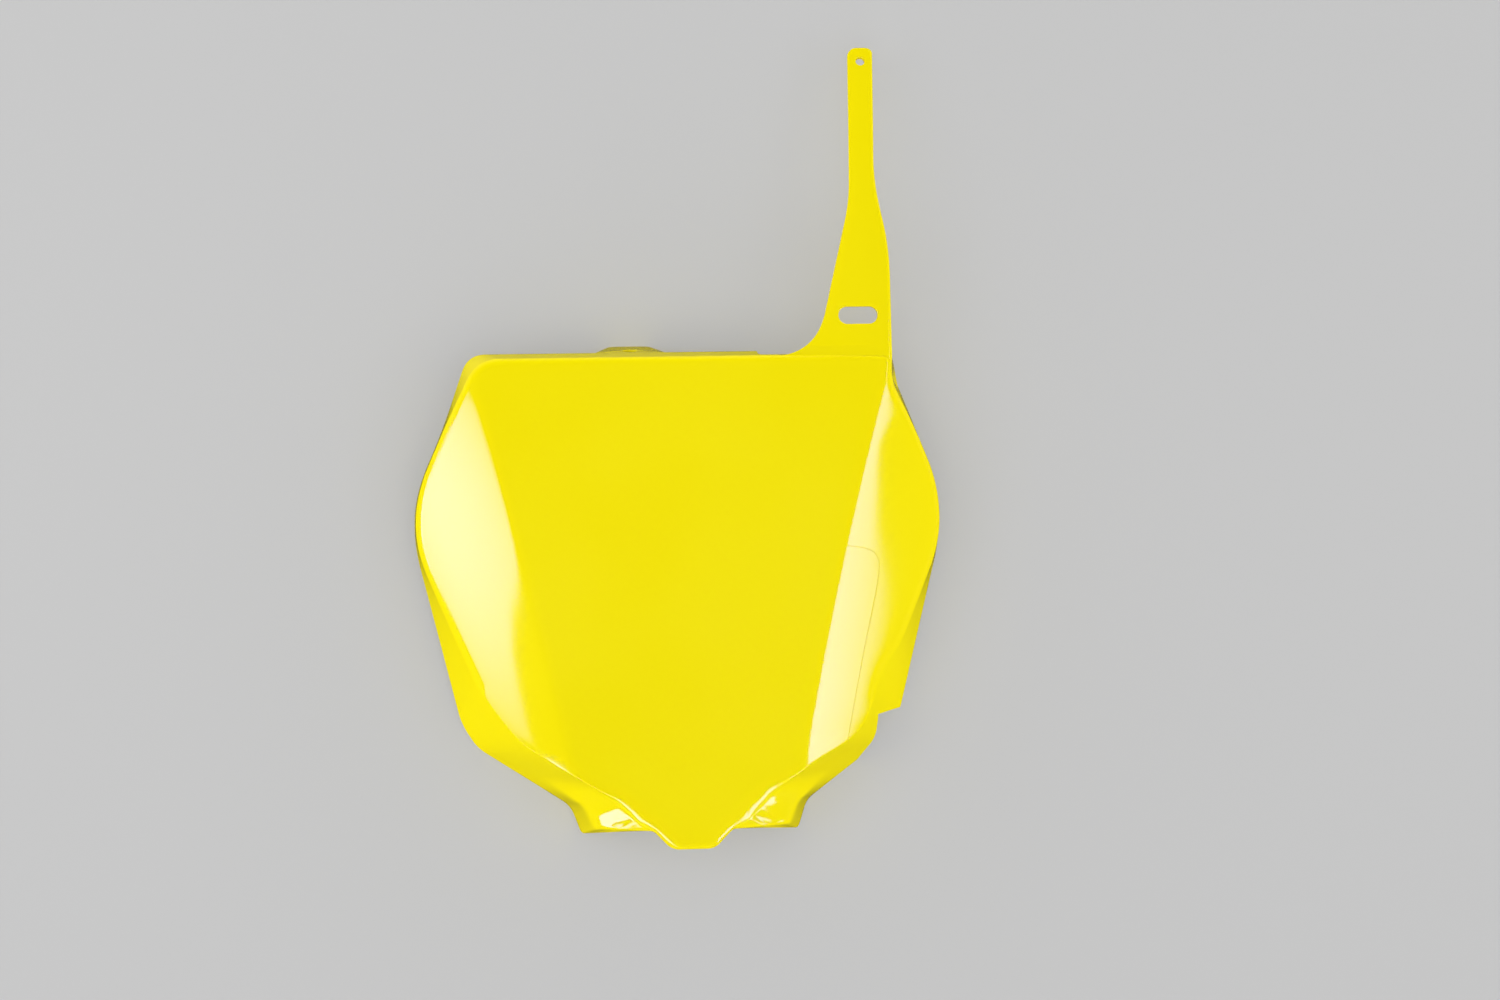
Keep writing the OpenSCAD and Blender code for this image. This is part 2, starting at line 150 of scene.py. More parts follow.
class Wire:
    """A number inside a node tree that is used like a plain number."""

    def __init__(self, tree: bpy.types.NodeTree, socket: bpy.types.NodeSocket) -> None:
        """Keep the socket that gives the number.

        Args:
            tree: Tree that the number belongs to.
            socket: Output socket that gives it.
        """
        self.tree = tree
        self.socket = socket

    def apply(self, operation: str, *values: "Wire | float") -> "Wire":
        """Add one Math node.

        Args:
            operation: Name of the node's operation.
            values: Values for its inputs, in their order.

        Returns:
            The node's result.
        """
        node = self.tree.nodes.new("ShaderNodeMath")
        node.operation = operation
        for place, value in enumerate(values):
            if isinstance(value, Wire):
                self.tree.links.new(value.socket, node.inputs[place])
            else:
                node.inputs[place].default_value = value
        return Wire(self.tree, node.outputs[0])

    def __add__(self, other: "Wire | float") -> "Wire":
        """Sum.

        Args:
            other: Number to add.

        Returns:
            The sum.
        """
        return self.apply("ADD", self, other)

    def __sub__(self, other: "Wire | float") -> "Wire":
        """Difference.

        Args:
            other: Number to take away.

        Returns:
            The difference.
        """
        return self.apply("SUBTRACT", self, other)

    def __rsub__(self, other: float) -> "Wire":
        """Difference from a plain number.

        Args:
            other: Number to take this one from.

        Returns:
            The difference.
        """
        return self.apply("SUBTRACT", other, self)

    def __mul__(self, other: "Wire | float") -> "Wire":
        """Product.

        Args:
            other: Number to multiply by.

        Returns:
            The product.
        """
        return self.apply("MULTIPLY", self, other)

    def __truediv__(self, other: "Wire | float") -> "Wire":
        """Quotient.

        Args:
            other: Number to divide by.

        Returns:
            The quotient.
        """
        return self.apply("DIVIDE", self, other)


class WireMaths:
    """Functions of the height rule for the numbers of a node tree."""

    def size(self, value: Wire) -> Wire:
        """Value without its sign.

        Args:
            value: Number of a tree.

        Returns:
            Number of the same tree.
        """
        return value.apply("ABSOLUTE", value)

    def least(self, first: Wire, second: Wire) -> Wire:
        """The smaller of two values.

        Args:
            first: Number of a tree.
            second: Number of the same tree.

        Returns:
            Number of the same tree.
        """
        return first.apply("MINIMUM", first, second)

    def root(self, value: Wire) -> Wire:
        """Square root.

        Args:
            value: Number of a tree.

        Returns:
            Number of the same tree.
        """
        return value.apply("SQRT", value)


@dataclass(frozen=True)
class FaceRule:
    """Rule that gives the height of the outer face: a bowed panel and two folded wings."""

    bow_radius: float = 1400.0
    bow_middle: float = -99.674
    cross_radius: float = 3000.0
    fold_top: float = 101.3
    fold_bottom: float = 56.5
    fold_run: float = 181.268
    fold_bow: float = 2.6
    fold_round: float = 0.8
    wing_slope: float = 0.34433
    wing_radius: float = 260.0

    def fold(self, y: Amount) -> Amount:
        """Half distance between the folds.

        Args:
            y: Level below the top edge of the face.

        Returns:
            Half distance at that level.
        """
        level = y / self.fold_run * -1.0
        bowed = level * (1.0 - level) * self.fold_bow * 4.0
        return level * (self.fold_top - self.fold_bottom) * -1.0 + self.fold_top - bowed

    def height(self, x: Amount, y: Amount, maths: Maths) -> Amount:
        """Height of the outer face at a point in plan.

        Args:
            x: Distance to the right of the middle.
            y: Level below the top edge of the face.
            maths: Functions for the kind of number that is used.

        Returns:
            Height above the highest plane of the face.
        """
        half = maths.size(x)
        fold = self.fold(y)
        lean = (self.fold_top - self.fold_bottom) / self.fold_run
        out = (half - fold) / maths.root(lean * lean + 1.0)
        ramp = (out + maths.root(out * out + self.fold_round * self.fold_round * 4.0)) * 0.5
        fall = ramp * self.wing_slope + ramp * ramp / self.wing_radius * 0.5
        rise = y - self.bow_middle
        inner = maths.least(half, fold)
        bow = rise * rise / self.bow_radius * 0.5 + inner * inner / self.cross_radius * 0.5
        return (bow + fall) * -1.0


@dataclass(frozen=True)
class ShellSizes:
    """Sizes of the face, its rim and its lower end."""

    face_height: float = 231.8
    face_half_widths: tuple[float, ...] = (94.0, 131.6, 94.0, 77.0, 37.0, 9.5)
    face_levels: tuple[float, ...] = (0.0, 0.33, 0.688, 0.782, 0.893, 1.0)
    tongue_turns: tuple[float, ...] = (0.2, 0.42, 0.68)
    wall: float = 2.2
    depth: float = 46.0
    top_depth: float = 22.0
    wing_depth: float = 33.0
    flange_lean: float = 4.3
    corner_lean: float = 5.8
    skirt_lean: float = 13.0
    lower_lean: float = 22.5
    foot_lean: float = 20.8
    rim_round: float = 3.0
    foot_half_width: float = 52.9
    foot_half_gap: float = 38.0
    foot_lift: float = 4.0
    foot_inner_depth: float = 16.0
    wing_tuck: float = 0.6
    wing_rise: float = 5.0
    bend_drop: float = 13.0
    bend_lift: float = 2.0
    corner_drop: float = 3.7
    foot_drop: float = 6.9
    foot_inner_rise: float = 2.9
    foot_tuck: float = 0.6
    foot_rise: float = 3.6
    # Swell of the feet's inner skin, and the soft shoulder of their outer skin
    foot_swell: float = 1.3
    swell_run: float = 0.05
    shoulder_level: float = 0.85
    shoulder_run: float = 0.05
    shoulder_place: float = 0.66
    shoulder_fall: float = 0.32
    shoulder_round: float = 0.03
    tongue_lip: float = 3.4
    lip_lean: float = 0.7
    tongue_reach: float = 4.7
    lower_shift: float = 3.0
    shift_start: float = 0.76
    shift_run: float = 0.2
    relief_level: float = 0.731
    relief_height: float = 21.0
    relief_length: float = 27.0
    relief_slope: float = 0.12
    relief_turn: float = 0.3
    relief_drop: float = 0.2
    relief_swing: float = 4.2
    swing_run: float = 27.0
    swing_rise: float = 5.0
    corner_reach: float = 12.5
    corner_run: float = 18.0
    # Bulge of the wings' upper edges, and how far the left rim is set in below it
    edge_bulge: float = 1.8
    left_bulge: float = 1.1
    rim_set_in: float = 1.6
    bulge_low: float = -74.0
    bulge_high: float = 6.0
    # Level, reach and rounding of the sharp part of the lower creases
    crease_left: tuple[float, float, float] = (0.785, 0.125, 0.12)
    crease_right: tuple[float, float, float] = (0.79, 0.09, 0.4)
    crease_hold: float = 0.75
    notch_offset: float = 38.5
    notch_length: float = 23.0
    notch_corner: float = 3.0
    edge_round: float = 0.5
    inner_corner: float = 0.85
    face_shares: tuple[float, ...] = (0.0, 0.13, 0.33, 0.35, 0.3, 0.25, 0.2, 0.2, 0.2, 0.45, 0.0)
    rim_shares: tuple[float, ...] = (0.0, 0.1, 0.33, 0.4, 0.3, 0.3, 0.2, 0.2, 0.15, 0.35, 0.0)
    bend_steps: tuple[int, ...] = (0, 12, 20, 16, 12, 8, 6, 6, 8, 10, 0)
    straight_steps: int = 8
    panel_columns: int = 22
    wing_columns: int = 18
    column_growth: float = 1.22
    fold_limit: float = 0.985
    round_steps: int = 8
    wall_steps: int = 28


@dataclass(frozen=True)
class StrapSizes:
    """Sizes of the strap above the face."""

    side: float = 102.4
    reach: float = 151.9
    width: float = 12.4
    root_width: float = 36.8
    set_in: float = 6.6
    lean: float = 2.5
    neck_level: float = 0.53
    neck_left_drop: float = 0.04
    neck_right_drop: float = 0.19
    neck_right_rise: float = 0.025
    fillet: float = 22.0
    thickness: float = 2.6
    root_angle: float = 2.0
    end_angle: float = 13.0
    bend_start: float = 0.37
    bend_end: float = 0.78
    lip_depth: float = 16.0
    lip_level: float = 0.55
    lip_spread: float = 1.8
    lip_round: float = 0.4
    lip_taper: float = 0.1
    step: float = 1.0
    outer_round: float = 2.2
    edge_round: float = 0.6
    edge_limit: float = 0.45
    end_left: float = 4.5
    end_right: float = 2.8
    root_y: float = -14.0
    root_sunk: float = 1.2
    dive: float = 0.3
    bead: float = 0.6
    hole_diameter: float = 4.3
    hole_inset: float = 7.0
    hole_edge: float = 0.3
    hole_steps: int = 20
    slot_length: float = 18.7
    slot_width: float = 8.3
    slot_level: float = 19.3
    slot_edge: float = 0.5
    slot_steps: int = 24
    # Levels at which the root passes through the flange, as shares of the wall
    root_turns: tuple[float, float] = (-0.8, -0.6)
    left_shares: tuple[float, ...] = (0.0, 0.95, 0.12, 0.0, 0.0)
    right_shares: tuple[float, ...] = (0.0, 0.4, 0.4, 0.4, 0.0, 0.0)
    left_steps: tuple[int, ...] = (0, 40, 12, 1, 0)
    right_steps: tuple[int, ...] = (0, 12, 16, 16, 1, 0)
    straight_steps: int = 6
    round_steps: int = 10
    root_sections: int = 9
    first_level: float = 0.02
    section_step: float = 2.0
    least_step: float = 0.012
    end_turn: float = 6.0


@dataclass(frozen=True)
class TabSizes:
    """Sizes of the tab below the top flange."""

    width: float = 22.0
    root_width: float = 35.0
    offset: float = 22.5
    corner: float = 5.0
    hole_diameter: float = 6.6
    hole_height: float = 17.0
    hole_edge: float = 0.3
    hole_steps: int = 24
    sunk: float = 0.3
    edge_round: float = 0.35
    corner_steps: int = 12


@dataclass(frozen=True)
class InsertSizes:
    """Route and size of the fine line that a mould insert left on the right wing."""

    path: tuple[tuple[float, float], ...] = (
        (78.5, -90.9), (86.0, -91.8), (91.6, -94.0), (93.9, -98.6), (93.7, -105.0),
        (91.2, -117.7), (86.0, -140.5), (80.6, -167.0), (77.3, -184.0),
    )
    radius: float = 0.22
    sunk: float = 0.07
    points: int = 140
    spline_steps: int = 16
    ring_steps: int = 10


@dataclass(frozen=True)
class PlasticFinish:
    """Finish of the glossy moulded plastic."""

    colour: tuple[float, float, float] = (0.896, 0.757, 0.001)
    deeper: tuple[float, float, float] = (0.868, 0.728, 0.001)
    refraction: float = 1.5
    roughness_low: float = 0.06
    roughness_high: float = 0.10
    deeper_share: float = 0.45
    mottle_scale: float = 14.0
    mottle_detail: float = 2.0
    mottle_roughness: float = 0.5
    mottle_low: float = 0.3
    mottle_middle: float = 0.55
    mottle_high: float = 0.7
    peel_scale: float = 260.0
    peel_detail: float = 1.0
    peel_roughness: float = 0.4
    peel_height: float = 0.0000012


@dataclass(frozen=True)
class Softbox:
    """Large flat lamp above the board, which fades from its middle outward in reflections."""

    name: str
    outline: tuple[tuple[float, float], ...]
    middle: tuple[float, float]
    spread: tuple[float, float]
    # Strength as a lamp, and in reflections
    light: float
    shine: float
    height: float = 1.046
    shine_colour: tuple[float, float, float] = (0.30, 0.36, 1.0)


@dataclass(frozen=True)
class Shot:
    """Camera of the photograph."""

    place: tuple[float, float, float] = (-0.048241, -0.068279, 1.142312)
    pitch: float = 2.0923
    roll: float = -4.2015
    yaw: float = -1.1479
    lens: float = 56.007


def along(first: Plain, second: Plain, share: Plain) -> Plain:
    """Point on the way between two values.

    Args:
        first: Start, a number or an array.
        second: End, of the same kind.
        share: Share of the way.

    Returns:
        The point between them.
    """
    return first + (second - first) * share


def ease(value: Plain) -> Plain:
    """Blend that runs smoothly from 0 to 1.

    Args:
        value: Number or array, cut off at 0 and at 1.

    Returns:
        Blended value.
    """
    held = np.clip(value, 0.0, 1.0)
    return held * held * (3.0 - 2.0 * held)


def rounded_path(
    corners: np.ndarray, shares: Sequence[float], steps: Sequence[int], straight: int
) -> np.ndarray:
    """Path that follows corners and rounds each by a share of its shorter side.

    Args:
        corners: Corner points, one a row.
        shares: Share of the shorter side that each rounding takes.
        steps: Steps along each rounding.
        straight: Steps along each straight between two roundings.

    Returns:
        Points of the path, one a row.
    """
    points: list[np.ndarray] = []
    last = None
    for place in range(1, len(corners) - 1):
        here, back, on = corners[place], corners[place - 1], corners[place + 1]
        back_run = np.linalg.norm(back - here)
        on_run = np.linalg.norm(on - here)
        cut = shares[place] * min(back_run, on_run)
        start = along(here, back, cut / back_run)
        end = along(here, on, cut / on_run)
        if last is not None:
            points += [along(last, start, step / straight) for step in range(1, straight)]
        turns = np.linspace(0.0, 1.0, max(steps[place], 1) + 1)
        points += [along(along(start, here, t), along(here, end, t), t) for t in turns]
        last = end
    return np.array(points)


def at_level(path: np.ndarray, y: float) -> float:
    """Distance from the middle of a path at a level.

    Args:
        path: Points of the path, one a row.
        y: Level to look at.

    Returns:
        x of the path there.
    """
    order = np.argsort(path[:, 1], kind="stable")
    return float(np.interp(y, path[order, 1], path[order, 0]))


def to_frame(points: np.ndarray) -> np.ndarray:
    """Move points from the board's own axes to the frame.

    Args:
        points: Points in millimetres, one a row.

    Returns:
        Points in metres.
    """
    return points * MILLIMETRE + np.array(ORIGIN)


class Workshop:
    """Turns points and faces into Blender objects and combines them."""

    def __init__(self, material: bpy.types.Material) -> None:
        """Keep the material that every part gets.

        Args:
            material: Finished material.
        """
        self.material = material

    def mesh_object(self, name: str, points: np.ndarray, faces: Iterable[Sequence[int]]) -> bpy.types.Object:
        """Object from points and faces.

        Args:
            name: Name of the object.
            points: Points as they are stored, one a row.
            faces: Point numbers of each face.

        Returns:
            The new object.
        """
        mesh = bpy.data.meshes.new(name)
        mesh.from_pydata([tuple(p) for p in points], [], [list(f) for f in faces])
        mesh.materials.append(self.material)
        mesh.update()
        item = bpy.data.objects.new(name, mesh)
        bpy.context.scene.collection.objects.link(item)
        return item

    def loft(self, name: str, rings: np.ndarray) -> bpy.types.Object:
        """Closed solid through a row of rings.

        Args:
            name: Name of the object.
            rings: Points in the frame, by ring and place.

        Returns:
            The new object.
        """
        levels, count = rings.shape[:2]
        faces: list[list[int]] = [list(range(count))[::-1]]
        for level in range(levels - 1):
            for place in range(count):
                on = (place + 1) % count
                low, high = level * count, (level + 1) * count
                faces.append([low + place, low + on, high + on, high + place])
        faces.append([(levels - 1) * count + place for place in range(count)])
        item = self.mesh_object(name, rings.reshape(-1, 3), faces)
        self.face_outward(item)
        return item

    def face_outward(self, item: bpy.types.Object) -> None:
        """Turn the faces of a closed mesh outward.

        Args:
            item: Object to work on.
        """
        work = bmesh.new()
        work.from_mesh(item.data)
        bmesh.ops.recalc_face_normals(work, faces=work.faces)
        work.to_mesh(item.data)
        work.free()
        item.data.update()

    def bake(self, item: bpy.types.Object) -> None:
        """Replace an object's mesh by the result of its modifiers.

        Args:
            item: Object to work on.
        """
        result = item.evaluated_get(bpy.context.evaluated_depsgraph_get())
        mesh = bpy.data.meshes.new_from_object(result)
        old = item.data
        item.modifiers.clear()
        item.data = mesh
        bpy.data.meshes.remove(old)

    def combine(self, base: bpy.types.Object, tool: bpy.types.Object, join: Join) -> None:
        """Add one solid to another, or cut it away.

        Args:
            base: Solid that stays.
            tool: Solid that is used up.
            join: How they are combined.
        """
        modifier = base.modifiers.new(join.name.lower(), "BOOLEAN")
        modifier.operation = join.value
        modifier.solver = "MANIFOLD"
        modifier.object = tool
        self.bake(base)
        mesh = tool.data
        bpy.data.objects.remove(tool)
        bpy.data.meshes.remove(mesh)

    def finish(self, item: bpy.types.Object, sharp_angle: float) -> int:
        """Smooth the mesh, keep its sharp edges and give it the one material.

        Args:
            item: Object to work on.
            sharp_angle: Angle in degrees above which an edge stays sharp.

        Returns:
            Number of edges that don't have two faces.
        """
        mesh = item.data
        mesh.name = item.name
        mesh.materials.clear()
        mesh.materials.append(self.material)
        mesh.polygons.foreach_set("material_index", [0] * len(mesh.polygons))
        mesh.shade_smooth()
        mesh.set_sharp_from_angle(angle=math.radians(sharp_angle))
        work = bmesh.new()
        work.from_mesh(mesh)
        loose = sum(1 for edge in work.edges if len(edge.link_faces) != 2)
        work.free()
        LOG.info("%s: %d faces, %d open edges", item.name, len(mesh.polygons), loose)
        return loose


class Nodes:
    """Adds nodes to a tree and joins them."""

    def __init__(self, tree: bpy.types.NodeTree) -> None:
        """Keep the tree.

        Args:
            tree: Tree to work on.
        """
        self.tree = tree

    def node(
        self, kind: str, values: dict[str | int, object] | None = None, **settings: object
    ) -> bpy.types.Node:
        """New node with its values.

        Args:
            kind: Type name of the node.
            values: Values of its inputs, by name or place.
            settings: Properties to set on it.

        Returns:
            The node.
        """
        made = self.tree.nodes.new(kind)
        for key, value in settings.items():
            setattr(made, key, value)
        for key, value in (values or {}).items():
            made.inputs[key].default_value = value
        return made

    def link(self, start: bpy.types.NodeSocket, end: bpy.types.NodeSocket) -> None:
        """Join two sockets.

        Args:
            start: Output socket.
            end: Input socket.
        """
        self.tree.links.new(start, end)


class RuleTree(Nodes):
    """Geometry Nodes tree that places points by the height rule of the face."""

    def __init__(self, name: str, rule: FaceRule, material: bpy.types.Material) -> None:
        """Start the tree with a named input for each size of the rule.

        Args:
            name: Name of the tree.
            rule: Sizes that the inputs get.
            material: Material set at the end of the tree.
        """
        super().__init__(bpy.data.node_groups.new(name, "GeometryNodeTree"))
        self.material = material
        face = self.tree.interface
        face.new_socket("Geometry", in_out="INPUT", socket_type="NodeSocketGeometry")
        face.new_socket("Geometry", in_out="OUTPUT", socket_type="NodeSocketGeometry")
        self.values: dict[str, float] = {}
        self.entry = self.node("NodeGroupInput")
        names = [item.name for item in fields(rule)]
        self.sizes = FaceRule(**{item: self.add_input(item, getattr(rule, item)) for item in names})

    def add_input(self, name: str, value: float) -> Wire:
        """Named input of the tree.

        Args:
            name: Name with underscores.
            value: Value that the input gets.

        Returns:
            The number inside the tree.
        """
        label = name.replace("_", " ").capitalize()
        socket = self.tree.interface.new_socket(label, in_out="INPUT", socket_type="NodeSocketFloat")
        socket.default_value = value
        self.values[socket.identifier] = value
        return Wire(self.tree, self.entry.outputs[label])

    def parts_of(self, socket: bpy.types.NodeSocket) -> tuple[Wire, Wire, Wire]:
        """The three numbers of a vector.

        Args:
            socket: Output socket with the vector.

        Returns:
            Its x, y and z.
        """
        split = self.node("ShaderNodeSeparateXYZ")
        self.link(socket, split.inputs[0])
        return tuple(Wire(self.tree, out) for out in split.outputs)

    def stored(self, name: str) -> tuple[Wire, Wire, Wire]:
        """The three numbers that each point stores under a name.

        Args:
            name: Name of the attribute.

        Returns:
            Its x, y and z.
        """
        found = self.node("GeometryNodeInputNamedAttribute", {"Name": name}, data_type="FLOAT_VECTOR")
        return self.parts_of(found.outputs[0])

    def placed(self, x: Wire, y: Wire, z: Wire) -> bpy.types.NodeSocket:
        """Place in the frame of a point in the board's own axes.

        Args:
            x: Distance to the right, in millimetres.
            y: Level, in millimetres.
            z: Height, in millimetres.

        Returns:
            Socket with the place in metres.
        """
        whole = self.node("ShaderNodeCombineXYZ")
        for place, value in enumerate((x, y, z)):
            self.link(value.socket, whole.inputs[place])
        moved = self.node("ShaderNodeVectorMath", {1: (MILLIMETRE,) * 3, 2: ORIGIN}, operation="MULTIPLY_ADD")
        self.link(whole.outputs[0], moved.inputs[0])
        return moved.outputs[0]

    def chain(self, geometry: bpy.types.NodeSocket, *steps: bpy.types.Node) -> bpy.types.NodeSocket:
        """Send geometry through a row of nodes.

        Args:
            geometry: Geometry to start with.
            steps: Nodes whose first input and output are geometry.

        Returns:
            Geometry after the last node.
        """
        for step in steps:
            self.link(geometry, step.inputs[0])
            geometry = step.outputs[0]
        return geometry

    def close(self, geometry: bpy.types.NodeSocket) -> None:
        """End the tree with real geometry that has its material.

        Args:
            geometry: Geometry to send out.
        """
        painted = self.node("GeometryNodeSetMaterial", {"Material": self.material})
        out = self.node("NodeGroupOutput")
        made = self.chain(geometry, self.node("GeometryNodeRealizeInstances"), painted)
        self.link(made, out.inputs[0])

    def run(self, item: bpy.types.Object, workshop: Workshop) -> None:
        """Run the tree on an object and keep the plain mesh.

        Args:
            item: Object that holds the plan.
            workshop: Workshop that bakes it.
        """
        modifier = item.modifiers.new(self.tree.name, "NODES")
        modifier.node_group = self.tree
        for identifier, value in self.values.items():
            modifier[identifier] = value
        workshop.bake(item)


class LiftTree(RuleTree):
    """Tree that lifts a flat plan onto the face.

    Each point stores two anchors in plan and three numbers. Its height is the face
    height at the first anchor times the first number, plus the one at the second
    anchor times the second number, plus the third number.
    """

    def __init__(self, rule: FaceRule, material: bpy.types.Material) -> None:
        """Build the whole tree.

        Args:
            rule: Sizes of the height rule.
            material: Material of the result.
        """
        super().__init__("lift_onto_face", rule, material)
        near_x, near_y, _ = self.stored("near")
        far_x, far_y, _ = self.stored("far")
        near_share, far_share, base = self.stored("mix")
        maths = WireMaths()
        near = self.sizes.height(near_x, near_y, maths)
        far = self.sizes.height(far_x, far_y, maths)
        height = near * near_share + far * far_share + base
        here = self.node("GeometryNodeInputPosition")
        x, y, _ = self.parts_of(here.outputs[0])
        lift = self.node("GeometryNodeSetPosition")
        self.link(self.placed(x, y, height), lift.inputs["Position"])
        self.close(self.chain(self.entry.outputs["Geometry"], lift))


class BeadTree(RuleTree):
    """Tree that lays a thin round bead along a path on the face."""

    def __init__(self, rule: FaceRule, material: bpy.types.Material, bead: InsertSizes) -> None:
        """Build the whole tree.

        Args:
            rule: Sizes of the height rule.
            material: Material of the result.
            bead: Sizes of the bead.
        """
        super().__init__("bead_on_face", rule, material)
        radius = self.add_input("bead_radius", bead.radius)
        sunk = self.add_input("bead_sunk", bead.sunk)
        smooth = self.node("GeometryNodeCurveSplineType", spline_type="CATMULL_ROM")
        fine = self.node("GeometryNodeSetSplineResolution", {"Resolution": bead.spline_steps})
        even = self.node("GeometryNodeResampleCurve", {"Count": bead.points})
        lift = self.node("GeometryNodeSetPosition")
        here = self.node("GeometryNodeInputPosition")
        x, y, _ = self.parts_of(here.outputs[0])
        height = self.sizes.height(x, y, WireMaths()) - sunk
        self.link(self.placed(x, y, height), lift.inputs["Position"])
        section = self.node("GeometryNodeCurvePrimitiveCircle", {"Resolution": bead.ring_steps})
        self.link((radius * MILLIMETRE).socket, section.inputs["Radius"])
        tube = self.node("GeometryNodeCurveToMesh", {"Fill Caps": True})
        self.link(section.outputs[0], tube.inputs["Profile Curve"])
        start = self.node("GeometryNodeMeshToCurve")
        self.close(self.chain(self.entry.outputs["Geometry"], start, smooth, fine, even, lift, tube))


class PlanStore:
    """Points in plan together with what their heights are made of."""

    def __init__(self) -> None:
        """Start without points."""
        self.plan: list[np.ndarray] = []
        self.near: list[np.ndarray] = []
        self.far: list[np.ndarray] = []
        self.mix: list[np.ndarray] = []

    def add(self, plan: np.ndarray, near: np.ndarray, far: np.ndarray,
            near_share: Plain, far_share: Plain, base: Plain) -> None:
        """Add a row of points.

        Args:
            plan: Places in plan.
            near: First anchors in plan.
            far: Second anchors in plan.
            near_share: Share of the face height at the first anchors.
            far_share: Share of the face height at the second anchors.
            base: Height that is added.
        """
        count = len(plan)
        self.plan.append(plan)
        self.near.append(near)
        self.far.append(far)
        mix = [np.broadcast_to(value, (count,)) for value in (near_share, far_share, base)]
        self.mix.append(np.column_stack(mix))

    def store(self, mesh: bpy.types.Mesh) -> None:
        """Write the anchors and numbers to a mesh.

        Args:
            mesh: Mesh with the points in the same order.
        """
        for name, rows in (("near", self.near), ("far", self.far), ("mix", self.mix)):
            values = np.vstack(rows)
            if values.shape[1] == 2:
                values = np.column_stack([values, np.zeros(len(values))])
            layer = mesh.attributes.new(name, "FLOAT_VECTOR", "POINT")
            layer.data.foreach_set("vector", values.astype(np.float32).ravel())


class Shell:
    """Thin shell of the face and its rim, as one closed surface."""

    def __init__(self, sizes: ShellSizes, rule: FaceRule) -> None:
        """Work out the outlines.

        Args:
            sizes: Sizes of the face, the rim and the lower end.
            rule: Height rule of the face.
        """
        self.sizes = sizes
        self.rule = rule
        self.maths = PlainMaths()
        self.face_corners = self.corners_of_face()
        self.rim_corners = self.corners_of_rim()
        steps, straight = sizes.bend_steps, sizes.straight_steps
        self.face_side = rounded_path(self.face_corners, sizes.face_shares, steps, straight)
        self.rim_side = rounded_path(self.rim_corners, sizes.rim_shares, steps, straight)
        self.rows = len(self.face_side) - 1
        self.columns = 2 * (sizes.panel_columns + sizes.wing_columns)
        self.cells = self.loop_cells()

    def height(self, plan: np.ndarray) -> np.ndarray:
        """Height of the outer face.

        Args:
            plan: Places in plan, one a row.

        Returns:
            Heights in millimetres.
        """
        return self.rule.height(plan[:, 0], plan[:, 1], self.maths)

    def tongue_height(self) -> float:
        """Height of the rear edge round the tongue.

        Returns:
            Height in millimetres.
        """
        tip = np.array([[0.0, -self.sizes.face_height]])
        return float(self.height(tip)[0]) - self.sizes.tongue_lip

    def corners_of_face(self) -> np.ndarray:
        """Corners of the right half of the face.

        Returns:
            Corner points, one a row.
        """
        s = self.sizes
        turned = [np.array([w, -s.face_height * t, 0.0]) for w, t in zip(s.face_half_widths, s.face_levels)]
        foot, tip = turned[FOOT], turned[TIP]
        turns = [along(foot, tip, t) for t in s.tongue_turns]
        first, last = np.zeros(3), np.array([0.0, -s.face_height, 0.0])
        return np.array([first, *turned[:TIP], *turns, tip, last])

    def corners_of_rim(self) -> np.ndarray:
        """Corners of the right half of the rear edge of the rim.

        Returns:
            Corner points, one a row.
        """
        s, face = self.sizes, self.face_corners
        rear, tongue = -s.depth, self.tongue_height()
        foot_y = -s.face_height + s.tongue_reach
        moves = [
            (s.corner_lean, s.flange_lean, -s.top_depth),
            (-s.wing_tuck, s.wing_rise, -s.wing_depth),
            (s.skirt_lean, -s.bend_drop, rear + s.bend_lift),
            (s.lower_lean, -s.corner_drop, rear),
            (s.foot_lean, -s.foot_drop, rear),
        ]
        moved = [face[place + 1] + np.array(move) for place, move in enumerate(moves)]
        inner = face[-3][0] + s.foot_tuck
        tip = s.face_half_widths[TIP] + s.lip_lean
        end = -s.face_height - s.lip_lean
        return np.array(
            [
                (0.0, s.flange_lean, -s.top_depth),
                *moved,
                (s.foot_half_width, foot_y, rear + s.foot_lift),
                (s.foot_half_gap, foot_y + s.foot_inner_rise, -s.foot_inner_depth),
                (inner, foot_y + s.foot_rise, tongue - s.wall),
                (tip, end, tongue),
                (0.0, end, tongue),
            ]
        )

    def column_places(self, half: float, y: float) -> np.ndarray:
        """Places of the columns of the right half, from the middle outward.

        Args:
            half: Half width of the face.
            y: Level below the top edge.

        Returns:
            x of each column, with one on the fold and the closest ones beside it.
        """
        s = self.sizes
        fold = min(self.rule.fold(y), half * s.fold_limit)

        def grown(count: int) -> np.ndarray:
            """Shares that grow outward from 0 to 1.

            Args:
                count: Number of steps.

            Returns:
                One share for each step and the start.
            """
            steps = s.column_growth ** np.arange(count + 1) - 1.0
            return steps / steps[-1]

        panel = fold - fold * grown(s.panel_columns)[::-1]
        wing = fold + (half - fold) * grown(s.wing_columns)
        return np.concatenate([panel, wing[1:]])

    def loop_cells(self) -> list[tuple[int, int]]:
        """Rows and columns round the edge of the grid, clockwise from the top left.

        Returns:
            Row and column of each step.
        """
        rows, columns = self.rows, self.columns
        top = [(0, c) for c in range(columns)]
        right = [(r, columns) for r in range(rows)]
        bottom = [(rows, c) for c in range(columns, 0, -1)]
        left = [(r, 0) for r in range(rows, 0, -1)]
        return top + right + bottom + left

    def column_at(self, column: int, half: float, y: float) -> float:
        """Place of one column of the whole face.

        Args:
            column: Number of the column, from the left.
            half: Half width of the face.
            y: Level below the top edge.

        Returns:
            x of the column.
        """
        middle = self.columns // 2
        places = self.column_places(half, y)
        return float(math.copysign(places[abs(column - middle)], column - middle))

